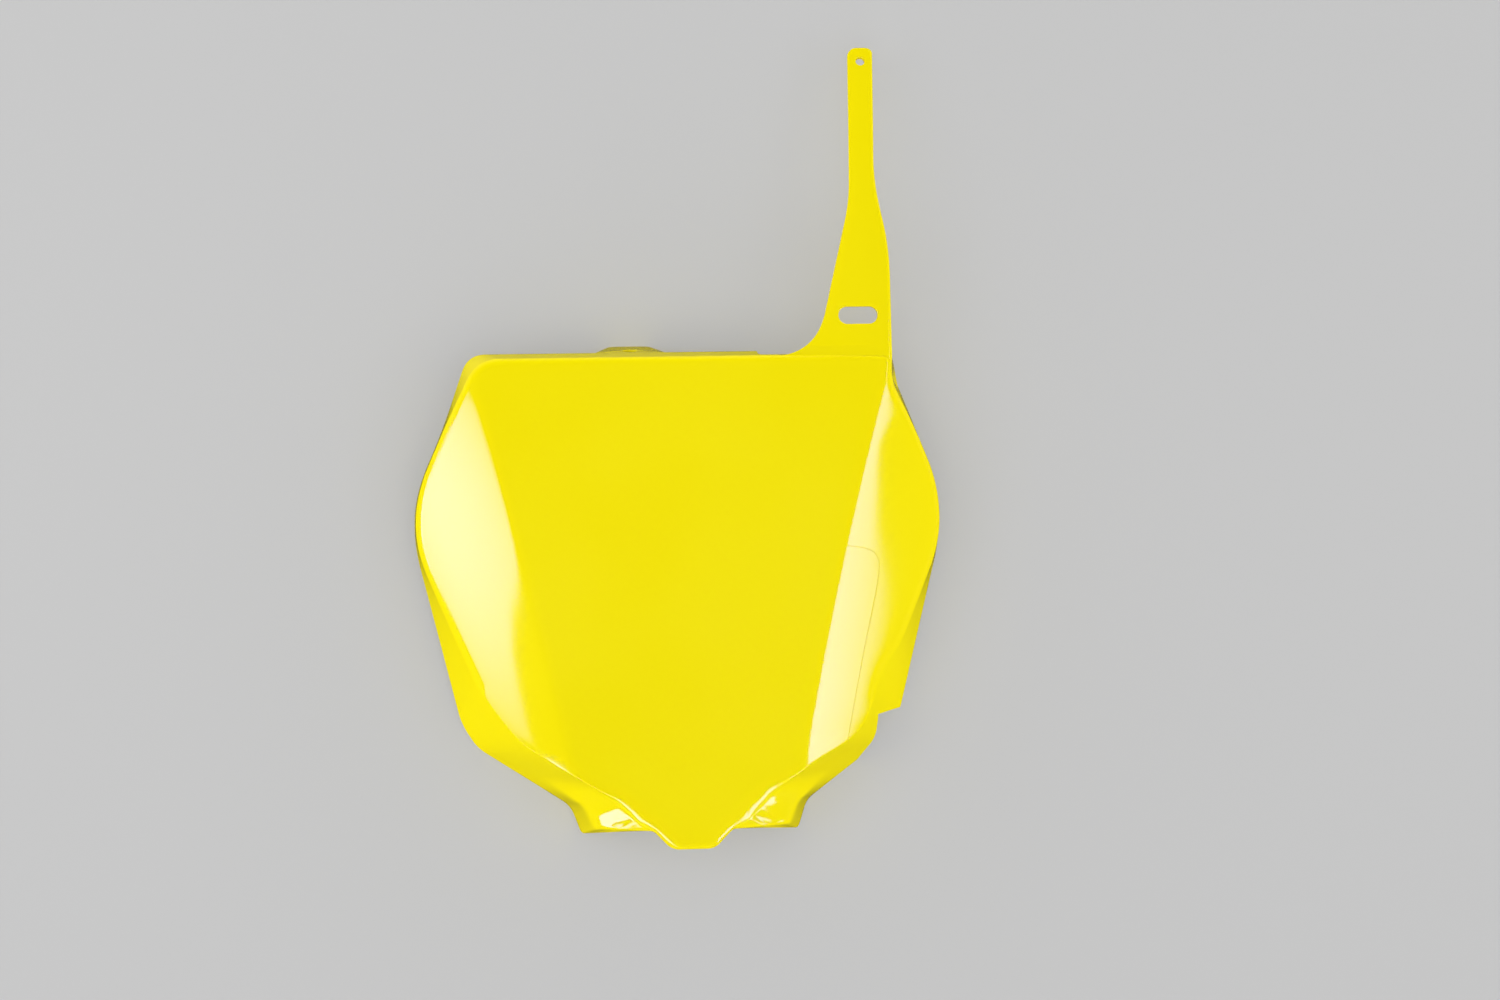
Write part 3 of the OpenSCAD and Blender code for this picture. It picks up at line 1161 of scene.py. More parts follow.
    def swing(self, y: float) -> float:
        """How far the edge on the strap side stands out, at its top corner and beside the relief.

        Args:
            y: Level below the top edge.

        Returns:
            Distance in millimetres.
        """
        s = self.sizes
        turn = (-s.face_height * s.relief_level + s.swing_rise - y) / s.swing_run
        beside = s.relief_swing * math.sin(math.pi * turn) if abs(turn) < 1.0 else 0.0
        corner = s.corner_reach * max(0.0, 1.0 + y / s.corner_run) ** 2
        return corner + beside + s.edge_bulge * self.beside_wing(y)

    def beside_wing(self, y: float) -> float:
        """Share of a change that is felt along the edge above the widest level.

        Args:
            y: Level below the top edge.

        Returns:
            Share that rises to 1 half way and runs out at both ends.
        """
        low, high = self.sizes.bulge_low, self.sizes.bulge_high
        share = min(1.0, max(0.0, (y - low) / (high - low)))
        return math.sin(math.pi * share) ** 2

    def face_loop(self) -> np.ndarray:
        """Outline of the face in plan.

        Returns:
            Points round the outline.
        """
        s = self.sizes
        points = []
        for row, column in self.cells:
            x, y = self.face_side[row][:2]
            if column == self.columns:
                points.append((x + self.swing(y), y))
            elif column == 0:
                points.append((-x - s.left_bulge * self.beside_wing(y), y))
            else:
                points.append((self.column_at(column, x, y), y))
        return np.array(points)

    def rim_loop(self, face: np.ndarray) -> np.ndarray:
        """Rear edge of the rim.

        Args:
            face: Outline of the face in plan.

        Returns:
            Points round the rear edge, with their heights.
        """
        points = []
        for (row, column), place in zip(self.cells, face):
            x, y, z = self.rim_side[row]
            if column == self.columns:
                points.append((x, y, z))
            elif column == 0:
                points.append((self.sizes.rim_set_in * self.beside_wing(y) - x, y, z))
            else:
                points.append((place[0] * x / self.face_side[row][0], y, z))
        return np.array(points)

    @staticmethod
    def outward(loop: np.ndarray) -> np.ndarray:
        """Outward directions in plan round a loop.

        Args:
            loop: Points round the loop.

        Returns:
            One direction for each point.
        """
        step = np.roll(loop, -1, axis=0)[:, :2] - np.roll(loop, 1, axis=0)[:, :2]
        turned = np.column_stack([-step[:, 1], step[:, 0]])
        return turned / np.linalg.norm(turned, axis=1)[:, None]

    def grid(self, inset: np.ndarray) -> np.ndarray:
        """Points of the face in plan, by row and column.

        Args:
            inset: Loop one rounding inside the outline of the face.

        Returns:
            Points, row after row.
        """
        rows = []
        shares = np.linspace(0.0, 1.0, self.columns + 1)
        for row in range(self.rows + 1):
            left = inset[-row % len(inset)]
            right = inset[self.columns + row]
            levels = along(left[1], right[1], shares)
            row_points = []
            for column, y in enumerate(levels):
                half = -left[0] if column < self.columns // 2 else right[0]
                row_points.append((self.column_at(column, half, y), y))
            rows.append(row_points)
        return np.array(rows).reshape(-1, 2)

    def leaned(self, plan: np.ndarray) -> np.ndarray:
        """Lean the lower end towards the strap side.

        Args:
            plan: Places in plan.

        Returns:
            Places moved along x.
        """
        s = self.sizes
        share = ease((-plan[:, 1] / s.face_height - s.shift_start) / s.shift_run)
        return plan + np.column_stack([s.lower_shift * share, np.zeros(len(plan))])

    def fall(self, share: np.ndarray, foot: np.ndarray) -> np.ndarray:
        """How deep a wall has fallen: evenly, but at the feet first gently and then steeply past a shoulder.

        Args:
            share: Share of the way from the face to the rear edge.
            foot: How far each place belongs to a foot.

        Returns:
            Share of the whole depth.
        """
        s = self.sizes

        def past(place: np.ndarray | float) -> np.ndarray | float:
            """Smooth run past the shoulder.

            Args:
                place: Share of the way.

            Returns:
                Run that is nearly zero before the shoulder.
            """
            over = place - s.shoulder_place
            return (over + np.sqrt(over * over + 4.0 * s.shoulder_round**2)) / 2.0

        steep = (past(share) - past(0.0)) / (past(1.0) - past(0.0))
        return along(share, along(steep, share, s.shoulder_fall), foot)

    def fill(self, store: PlanStore) -> int:
        """Put all points of the shell into a store.

        Args:
            store: Store for the points.

        Returns:
            Number of rings between the two grids.
        """
        s = self.sizes
        face = self.face_loop()
        rim = self.rim_loop(face)
        face_out, rim_out = self.outward(face), self.outward(rim)
        down = -face[:, 1] / s.face_height
        creases = zip(s.crease_left, s.crease_right)
        level, reach, sharp = (np.where(face[:, 0] < 0.0, left, right) for left, right in creases)
        nearness = ease((1.0 - np.abs(down - level) / reach) / (1.0 - s.crease_hold))
        rounding = along(s.rim_round, sharp, nearness)
        inset = face - rounding[:, None] * face_out
        grid = self.grid(inset)
        numbers = [row * (self.columns + 1) + column for row, column in self.cells]
        inset = grid[numbers]
        deep = rim[:, 2]
        plan = rim[:, :2]
        face_height = self.height(face)
        run = np.linalg.norm(np.column_stack([plan - face, deep - face_height]), axis=1)
        held = np.minimum(0.5, rounding / run)
        turn = along(face, plan, held[:, None])
        foot = ease((down - s.shoulder_level) / s.shoulder_run)
        swell = s.foot_swell * ease((down - s.face_levels[FOOT]) / s.swell_run) + 1.0
        store.add(grid, grid, grid, 1.0, 0.0, 0.0)
        rings = 0
        for t in np.linspace(0.0, 1.0, s.round_steps + 1)[1:]:
            place = along(along(inset, face, t), along(face, turn, t), t)
            far_share = 2.0 * t * (1.0 - t) + t * t * (1.0 - held)
            store.add(place, inset, face, (1.0 - t) ** 2, far_share, t * t * held * deep)
            rings += 1
        edge = s.edge_round
        stop = 1.0 - edge / (run * (1.0 - held))
        for t in np.linspace(0.0, 1.0, s.wall_steps + 1)[1:]:
            share = t * stop
            deeper = self.fall(share, foot)
            base = held * deep * (1.0 - deeper) + deep * deeper
            far_share = (1.0 - held) * (1.0 - deeper)
            store.add(along(turn, plan, share[:, None]), face, face, 0.0, far_share, base)
            rings += 1
        inner = plan - s.wall * rim_out
        soft = ARC_MIDDLE * edge
        for place, lift in (
            (plan - soft * rim_out, soft),
            (plan - edge * rim_out, 0.0),
            (inner + edge * rim_out, 0.0),
            (inner + soft * rim_out, soft),
        ):
            store.add(place, face, face, 0.0, 0.0, deep + lift)
            rings += 1
        corner = face - s.inner_corner * s.wall * face_out
        for t in np.linspace(1.0, 0.0, s.wall_steps + 1):
            share = t * stop
            deeper = share**swell
            base = -s.wall * (1.0 - deeper) + deep * deeper
            store.add(along(corner, inner, share[:, None]), corner, corner, 1.0 - deeper, 0.0, base)
            rings += 1
        store.add(grid, grid, grid, 1.0, 0.0, -s.wall)
        store.plan = [self.leaned(rows) for rows in store.plan]
        return rings

    def faces(self, rings: int) -> list[list[int]]:
        """Faces of the closed surface.

        Args:
            rings: Number of rings between the two grids.

        Returns:
            Point numbers of each face.
        """
        rows, columns, loop = self.rows, self.columns, len(self.cells)
        size = (rows + 1) * (columns + 1)
        inner = size + rings * loop

        def cell(row: int, column: int) -> int:
            """Number of a point of the first grid.

            Args:
                row: Its row.
                column: Its column.

            Returns:
                Number of the point.
            """
            return row * (columns + 1) + column

        def on_ring(ring: int, step: int) -> int:
            """Number of a point of a ring, where the first and last rings are the edges of the grids.

            Args:
                ring: Number of the ring.
                step: Step round it.

            Returns:
                Number of the point.
            """
            row, column = self.cells[step % loop]
            if ring == 0:
                return cell(row, column)
            if ring == rings + 1:
                return inner + cell(row, column)
            return size + (ring - 1) * loop + step % loop

        made = []
        for row in range(rows):
            for column in range(columns):
                corners = ((row, column), (row + 1, column), (row + 1, column + 1), (row, column + 1))
                around = [cell(*corner) for corner in corners]
                made.append(around)
                made.append([inner + number for number in reversed(around)])
        for ring in range(rings + 1):
            for step in range(loop):
                corners = ((ring, step), (ring, step + 1), (ring + 1, step + 1), (ring + 1, step))
                made.append([on_ring(*corner) for corner in corners])
        return made

    def build(self, workshop: Workshop, tree: LiftTree) -> bpy.types.Object:
        """Make the finished shell.

        Args:
            workshop: Workshop that makes the object.
            tree: Tree that lifts the plan onto the face.

        Returns:
            Closed object in the frame.
        """
        store = PlanStore()
        rings = self.fill(store)
        plan = np.vstack(store.plan)
        flat = np.column_stack([plan, np.zeros(len(plan))])
        item = workshop.mesh_object("board_shell", flat, self.faces(rings))
        store.store(item.data)
        tree.run(item, workshop)
        workshop.face_outward(item)
        LOG.info("shell: %d rows, %d columns, %d rings", self.rows, self.columns, rings)
        return item


class Strap:
    """Strap that leaves the board beside its top edge."""

    def __init__(self, sizes: StrapSizes, shell: Shell) -> None:
        """Work out the sides.

        Args:
            sizes: Sizes of the strap.
            shell: Shell that it leaves.
        """
        self.sizes = sizes
        self.shell = shell
        s = sizes
        self.neck_x = s.side - s.set_in
        self.neck_y = s.neck_level * s.reach
        self.end_x = self.neck_x + s.lean
        self.root_left = s.side - s.root_width
        start = np.array([[s.side - s.root_width / 2.0, 0.0]])
        self.top = float(shell.height(start)[0]) - s.step
        self.face_root = at_level(shell.face_side, s.root_y) + shell.swing(s.root_y)
        self.root_spread = self.spread_at_root()
        self.left = self.left_side()
        self.right = self.right_side()

    def spread_at_root(self) -> float:
        """How far the foot of the side wall stands out where it ends in the rim.

        Returns:
            Distance in millimetres.
        """
        s, rim = self.sizes, self.shell.rim_side
        set_out = at_level(rim, s.root_y) - at_level(self.shell.face_side, s.root_y)
        rim_height = float(np.interp(-s.root_y, -rim[:, 1], rim[:, 2]))
        face_height = float(self.shell.height(np.array([[self.face_root, s.root_y]]))[0])
        return set_out * (face_height - self.top + s.lip_depth) / (face_height - rim_height) - s.root_sunk

    def left_side(self) -> np.ndarray:
        """Left side in plan.

        Returns:
            Points of the side from the root to the end.
        """
        s = self.sizes
        corners = [
            (self.root_left - s.fillet - OVER, 0.0),
            (self.root_left, 0.0),
            (self.neck_x - s.width, self.neck_y - s.neck_left_drop * s.reach),
            (self.end_x - s.width, s.reach),
            (self.end_x - s.width, s.reach + OVER),
        ]
        return rounded_path(np.array(corners), s.left_shares, s.left_steps, s.straight_steps)

    def right_side(self) -> np.ndarray:
        """Right side in plan.

        Returns:
            Points of the side from below the face to the end.
        """
        s = self.sizes
        corners = [
            (self.face_root, s.root_y),
            (s.side, 0.0),
            (s.side, self.neck_y - s.neck_right_drop * s.reach),
            (self.neck_x, self.neck_y + s.neck_right_rise * s.reach),
            (self.end_x, s.reach),
            (self.end_x, s.reach + OVER),
        ]
        path = rounded_path(np.array(corners), s.right_shares, s.right_steps, s.straight_steps)
        return np.vstack([[self.face_root, s.root_y], path])

    def height(self, y: float) -> float:
        """Height of the strap's upper side.

        Args:
            y: Level above the top edge of the face.

        Returns:
            Height in millimetres.
        """
        s = self.sizes
        if y < 0.0:
            return self.top + s.dive * y
        start, end = s.bend_start * s.reach, s.bend_end * s.reach
        root, tip = math.tan(math.radians(s.root_angle)), math.tan(math.radians(s.end_angle))
        run = end - start
        bent = 0.0 if y < start else (y - start) ** 2 / (2.0 * run) if y < end else y - start - run / 2.0
        return self.top - root * y - (tip - root) * bent

    def end_round(self, y: float, radius: float) -> float:
        """How far a round corner at the end sets a side in.

        Args:
            y: Level above the top edge of the face.
            radius: Radius of the corner.

        Returns:
            Distance in millimetres.
        """
        past = y - self.sizes.reach + radius
        return 0.0 if past < 0.0 else radius - math.sqrt(max(0.0, radius * radius - past * past))

    def section(self, y: float) -> np.ndarray:
        """Section across the strap.

        Args:
            y: Level above the top edge of the face.

        Returns:
            Points round the section.
        """
        s = self.sizes
        right = at_level(self.right, y) - self.end_round(y, s.end_right)
        if y <= s.root_turns[0] * self.shell.sizes.wall:
            left = at_level(self.shell.face_side, y) - s.thickness
        else:
            left = at_level(self.left, y) + self.end_round(y, s.end_left)
        shrink = self.end_round(y, s.edge_round)
        top = self.height(y) - shrink
        below = self.height(y) - s.thickness + shrink
        fade = float(ease(y / (s.lip_level * s.reach)))
        bottom = along(self.top - s.lip_depth, below - s.bead, fade)
        if y < 0.0:
            spread = along(s.lip_spread, self.root_spread, y / s.root_y)
        else:
            spread = s.lip_spread * (1.0 - fade)
        turns = np.radians(np.linspace(0.0, 90.0, s.round_steps + 1))
        edge = min(s.edge_round, s.edge_limit * (top - below))
        outer = s.outer_round
        foot = right + spread
        inner = foot - s.thickness
        points = [
            (left + edge * (1.0 - math.cos(a)), top - edge * (1.0 - math.sin(a)))
            for a in turns[:: s.round_steps // 2]
        ]
        points += [(right - outer * (1.0 - math.sin(a)), top - outer * (1.0 - math.cos(a))) for a in turns]
        points += [
            (foot, bottom + s.lip_round),
            (foot - s.lip_round, bottom),
            (inner + s.lip_round, bottom),
            (inner, bottom + s.lip_round),
            (right - s.thickness - s.lip_taper, below),
            (left + edge, below),
            (left, below + edge),
        ]
        return np.array([(x, y, z) for x, z in points])

    def levels(self) -> list[float]:
        """Levels of the sections.

        Returns:
            Levels from the root to the end.
        """
        s = self.sizes
        low, high = (turn * self.shell.sizes.wall for turn in s.root_turns)
        root = [*np.linspace(s.root_y, low, s.root_sections), high]
        start = s.reach - s.end_left
        side = [float(y) for path in (self.left, self.right) for y in path[:, 1] if s.first_level < y < start]
        side += list(np.arange(0.0, start, s.section_step))
        turns = np.radians(np.arange(0.0, 91.0, s.end_turn))
        rounds = (s.end_left, s.end_right, s.edge_round)
        end = [s.reach - radius * (1.0 - math.sin(a)) for a in turns for radius in rounds]
        kept = root[:]
        for level in sorted(side + end):
            if level - kept[-1] > s.least_step:
                kept.append(float(level))
        kept[-1] = s.reach
        return kept

    def build(self, workshop: Workshop) -> bpy.types.Object:
        """Make the solid strap without its openings.

        Args:
            workshop: Workshop that makes the object.

        Returns:
            Closed object in the frame.
        """
        rings = np.array([to_frame(self.section(y)) for y in self.levels()])
        LOG.info("strap: %d sections", len(rings))
        return workshop.loft("board_strap", rings)

    def slot_middle(self) -> Vector:
        """Middle of the slot on the upper side.

        Returns:
            Point in the board's own axes.
        """
        s = self.sizes
        x = (at_level(self.left, s.slot_level) + s.side) / 2.0
        return Vector((x, s.slot_level, self.height(s.slot_level)))

    def hole_middle(self) -> Vector:
        """Middle of the end hole on the upper side.

        Returns:
            Point in the board's own axes.
        """
        s = self.sizes
        y = s.reach - s.hole_inset
        x = along(self.neck_x, self.end_x, (y - self.neck_y) / (s.reach - self.neck_y)) - s.width / 2.0
        return Vector((x, y, self.height(y)))


class Tab:
    """Flat tab that stands down from the top flange."""

    def __init__(self, sizes: TabSizes, shell: Shell) -> None:
        """Work out where the tab stands.

        Args:
            sizes: Sizes of the tab.
            shell: Shell that it hangs from.
        """
        self.sizes = sizes
        self.shell = shell
        start = np.array([[sizes.offset, 0.0]])
        self.top = float(shell.height(start)[0])
        self.angle = math.atan(shell.sizes.flange_lean / (shell.sizes.top_depth + self.top))
        self.length = (shell.sizes.depth + self.top) / math.cos(self.angle)

    def place(self) -> Matrix:
        """Frame along the flange, with its third axis along the tab.

        Returns:
            Matrix in the board's own axes.
        """
        turn = Matrix.Rotation(self.angle, 4, "X")
        return Matrix.Translation((-self.sizes.offset, 0.0, self.top)) @ turn

    def outline(self, inset: float) -> np.ndarray:
        """Outline of the tab in its own plane.

        Args:
            inset: How far the outline is set in.

        Returns:
            Points round the outline: sideways and along the tab.
        """
        s = self.sizes
        shell = self.shell.sizes
        half, radius = s.root_width / 2.0 - inset, s.corner - inset
        middle = np.array([s.width / 2.0 - s.corner, s.corner - self.length])
        root = -self.length + (shell.depth - shell.top_depth) / math.cos(self.angle)
        away = np.array([s.root_width / 2.0, root]) - middle
        first = math.atan2(away[1], away[0]) - math.acos(s.corner / float(np.hypot(*away)))
        turns = np.linspace(first, -math.pi / 2.0, s.corner_steps + 1)
        right = [(middle[0] + radius * math.cos(a), middle[1] + radius * math.sin(a)) for a in turns]
        left = [(-x, z) for x, z in reversed(right)]
        top = -shell.rim_round
        return np.array([(half, top), (half, root), *right, *left, (-half, root), (-half, top)])

    def build(self, workshop: Workshop) -> bpy.types.Object:
        """Make the solid tab without its hole.

        Args:
            workshop: Workshop that makes the object.

        Returns:
            Closed object in the frame.
        """
        s, wall = self.sizes, self.shell.sizes.wall
        edge = s.edge_round
        soft = ARC_MIDDLE * edge
        rings = []
        for back, inset in ((0.0, edge), (soft, soft), (edge, 0.0), (wall - edge, 0.0), (wall, edge)):
            ring = [self.place() @ Vector((x, -s.sunk - back, z)) for x, z in self.outline(inset)]
            points = np.array([tuple(p) for p in ring])
            points[:, 2] = np.maximum(points[:, 2], -self.shell.sizes.depth)
            rings.append(to_frame(points))
        return workshop.loft("board_tab", np.array(rings))

    def hole_place(self) -> Matrix:
        """Frame of the hole, with its third axis out of the tab.

        Returns:
            Matrix in the board's own axes.
        """
        down = Matrix.Translation((0.0, -self.sizes.sunk, self.sizes.hole_height - self.length))
        return self.place() @ down @ Matrix.Rotation(-math.pi / 2.0, 4, "X")


class Cutter:
    """Tool for an opening whose edges are rounded on both sides of the wall."""

    REACH = 4.0
    STEPS = 4

    def __init__(self, outline: Callable[[float], np.ndarray], wall: float, edge: float) -> None:
        """Keep the shape of the opening.

        Args:
            outline: Gives the outline, grown by a distance.
            wall: Thickness of the wall.
            edge: Rounding of its edges.
        """
        self.outline = outline
        self.wall = wall
        self.edge = edge

    def build(self, name: str, place: Matrix, workshop: Workshop) -> bpy.types.Object:
        """Make the tool.

        Args:
            name: Name of the object.
            place: Frame of the opening in the board's own axes, its third axis out of the wall.
            workshop: Workshop that makes the object.

        Returns:
            Closed object in the frame.
        """
        turns = np.radians(np.linspace(90.0, 0.0, self.STEPS + 1))
        upper = [(-self.edge * (1.0 - math.sin(a)), self.edge * (1.0 - math.cos(a))) for a in turns]
        lower = [(-self.wall - z, grow) for z, grow in reversed(upper)]
        profile = [(self.REACH, self.edge), *upper, *lower, (-self.wall - self.REACH, self.edge)]
        rings = []
        for z, grow in profile:
            ring = [place @ Vector((x, y, z)) for x, y in self.outline(grow)]
            rings.append(to_frame(np.array([tuple(p) for p in ring])))
        return workshop.loft(name, np.array(rings))


def stadium(length: float, width: float, steps: int) -> Callable[[float], np.ndarray]:
    """Outline with round ends, or a circle where length and width are equal.

    Args:
        length: Full length.
        width: Full width.
        steps: Steps round each end.

    Returns:
        Function that gives the outline, grown by a distance.
    """

    def outline(grow: float) -> np.ndarray:
        """Outline of one size.

        Args:
            grow: How far it is grown.

        Returns:
            Points round the outline.
        """
        run = (length - width) / 2.0
        radius = width / 2.0 + grow
        turns = np.linspace(-math.pi / 2.0, math.pi / 2.0, steps + 1)
        right = [(run + radius * math.cos(a), radius * math.sin(a)) for a in turns]
        left = [(-x, -y) for x, y in right]
        if run == 0.0:
            right, left = right[:-1], left[:-1]
        return np.array(right + left)

    return outline


class NumberBoard:
    """The whole moulded board."""

    SHARP_ANGLE = 34.0
    BEAD_SHARP_ANGLE = 60.0

    def __init__(self, material: bpy.types.Material) -> None:
        """Set up the parts with their sizes.

        Args:
            material: Finished plastic.
        """
        self.rule = FaceRule()
        self.material = material
        self.workshop = Workshop(material)
        self.shell = Shell(ShellSizes(), self.rule)
        self.strap = Strap(StrapSizes(), self.shell)
        self.tab = Tab(TabSizes(), self.shell)

    def relief(self) -> bpy.types.Object:
        """Tool for the relief in the rim on the strap side.

        Returns:
            Closed object in the frame.
        """
        s = self.shell.sizes
        level, rear = -s.face_height * s.relief_level, -s.depth
        outline = [
            (level + s.relief_slope * OVER, rear - OVER),
            (level - s.relief_slope * s.relief_height, rear + s.relief_height),
            (level - s.relief_turn * s.relief_length, rear + (1.0 - s.relief_drop) * s.relief_height),
            (level - s.relief_length, rear - OVER),
        ]
        rings = [[(x, y, z) for y, z in outline] for x in (0.0, 2.0 * s.face_half_widths[WING])]
        return self.workshop.loft("relief_tool", np.array([to_frame(np.array(ring)) for ring in rings]))

    def notch(self) -> bpy.types.Object:
        """Tool for the notch in the top flange beside the strap.

        Returns:
            Closed object in the frame.
        """
        s, strap = self.shell.sizes, self.strap
        radius, low = s.notch_corner, -s.top_depth - s.notch_corner - OVER
        top = strap.top - strap.sizes.thickness - OVER
        start, end = s.notch_offset, s.notch_offset + s.notch_length
        turns = np.radians(np.linspace(0.0, 90.0, 9))
        right = [(end - radius + radius * math.cos(a), top - radius + radius * math.sin(a)) for a in turns]
        left = [(start + end - x, z) for x, z in reversed(right)]
        outline = [(end, low), *right, *left, (start, low)]
        rings = [[(x, y, z) for x, z in outline] for y in (-2.0 * s.wall - OVER, s.flange_lean + OVER)]
        return self.workshop.loft("notch_tool", np.array([to_frame(np.array(ring)) for ring in rings]))

    def slot_tool(self) -> bpy.types.Object:
        """Tool for the slot at the root of the strap.

        Returns:
            Closed object in the frame.
        """
        s = self.strap.sizes
        turn = Matrix.Rotation(math.radians(-s.root_angle), 4, "X")
        place = Matrix.Translation(self.strap.slot_middle()) @ turn
        cutter = Cutter(stadium(s.slot_length, s.slot_width, s.slot_steps), s.thickness, s.slot_edge)
        return cutter.build("slot_tool", place, self.workshop)

    def end_hole_tool(self) -> bpy.types.Object:
        """Tool for the hole at the end of the strap.

        Returns:
            Closed object in the frame.
        """
        s = self.strap.sizes
        turn = Matrix.Rotation(math.radians(-s.end_angle), 4, "X")
        place = Matrix.Translation(self.strap.hole_middle()) @ turn
        cutter = Cutter(stadium(s.hole_diameter, s.hole_diameter, s.hole_steps), s.thickness, s.hole_edge)
        return cutter.build("end_hole_tool", place, self.workshop)

    def tab_hole_tool(self) -> bpy.types.Object:
        """Tool for the hole in the tab.

        Returns:
            Closed object in the frame.
        """
        s = self.tab.sizes
        outline = stadium(s.hole_diameter, s.hole_diameter, s.hole_steps)
        cutter = Cutter(outline, self.shell.sizes.wall, s.hole_edge)
        return cutter.build("tab_hole_tool", self.tab.hole_place(), self.workshop)

    def insert_line(self) -> bpy.types.Object:
        """Fine raised line that a mould insert left on the wing.

        Returns:
            Object in the frame.
        """
        bead = InsertSizes()
        edges = [(place, place + 1) for place in range(len(bead.path) - 1)]
        mesh = bpy.data.meshes.new("board_insert_line")
        mesh.from_pydata([(x, y, 0.0) for x, y in bead.path], edges, [])
        item = bpy.data.objects.new("board_insert_line", mesh)
        bpy.context.scene.collection.objects.link(item)
        BeadTree(self.rule, self.material, bead).run(item, self.workshop)
        self.workshop.face_outward(item)
        self.workshop.finish(item, self.BEAD_SHARP_ANGLE)
        return item

    def build(self) -> list[bpy.types.Object]:
        """Make all pieces.

        Returns:
            Finished objects.
        """
        board = self.shell.build(self.workshop, LiftTree(self.rule, self.material))
        board.name = "board_moulding"
        for part in (self.strap.build(self.workshop), self.tab.build(self.workshop)):
            self.workshop.combine(board, part, Join.ADD)
        tools = (self.relief(), self.notch(), self.slot_tool(), self.end_hole_tool(), self.tab_hole_tool())
        for tool in tools:
            self.workshop.combine(board, tool, Join.CUT)
        self.workshop.finish(board, self.SHARP_ANGLE)
        return [board, self.insert_line()]


class Shader(Nodes):
    """Material that is made of nodes."""

    def __init__(self, name: str) -> None:
        """Start an empty material.

        Args:
            name: Name of the material.
        """
        self.material = bpy.data.materials.new(name)
        self.material.use_nodes = True
        super().__init__(self.material.node_tree)
        self.tree.nodes.clear()
        self.output = self.node("ShaderNodeOutputMaterial")


class PlasticMaterial(Shader):
    """Glossy moulded plastic with a faint unevenness."""

    def __init__(self, finish: PlasticFinish) -> None:
        """Build the material.

        Args:
            finish: Colours and sizes of the finish.
        """
        super().__init__(SLOT)
        f = finish
        place = self.node("ShaderNodeTexCoord")
        mottle = self.node(
            "ShaderNodeTexNoise",
            {"Scale": f.mottle_scale, "Detail": f.mottle_detail, "Roughness": f.mottle_roughness},
        )
        peel = self.node(
            "ShaderNodeTexNoise",
            {"Scale": f.peel_scale, "Detail": f.peel_detail, "Roughness": f.peel_roughness},
        )
        for texture in (mottle, peel):
            self.link(place.outputs["Object"], texture.inputs["Vector"])
        tone = self.node("ShaderNodeMix", data_type="RGBA")
        colours = [socket for socket in tone.inputs if socket.type == "RGBA"]
        colours[0].default_value = (*f.deeper, 1.0)
        colours[1].default_value = (*f.colour, 1.0)
        spread = self.node(
            "ShaderNodeMapRange",
            {"From Min": f.mottle_low, "From Max": f.mottle_middle, "To Min": 1.0 - f.deeper_share},
        )
        gloss = self.node(
            "ShaderNodeMapRange",
            {
                "From Min": f.mottle_low,
                "From Max": f.mottle_high,
                "To Min": f.roughness_low,
                "To Max": f.roughness_high,
            },
        )
        bump = self.node("ShaderNodeBump", {"Strength": 1.0, "Distance": f.peel_height})
        surface = self.node("ShaderNodeBsdfPrincipled", {"IOR": f.refraction})
        self.link(mottle.outputs["Fac"], spread.inputs["Value"])
        self.link(spread.outputs["Result"], tone.inputs["Factor"])
        result = [socket for socket in tone.outputs if socket.type == "RGBA"][0]
        self.link(result, surface.inputs["Base Color"])
        self.link(mottle.outputs["Fac"], gloss.inputs["Value"])
        self.link(gloss.outputs["Result"], surface.inputs["Roughness"])
        self.link(peel.outputs["Fac"], bump.inputs["Height"])
        self.link(bump.outputs["Normal"], surface.inputs["Normal"])
        self.link(surface.outputs["BSDF"], self.output.inputs["Surface"])


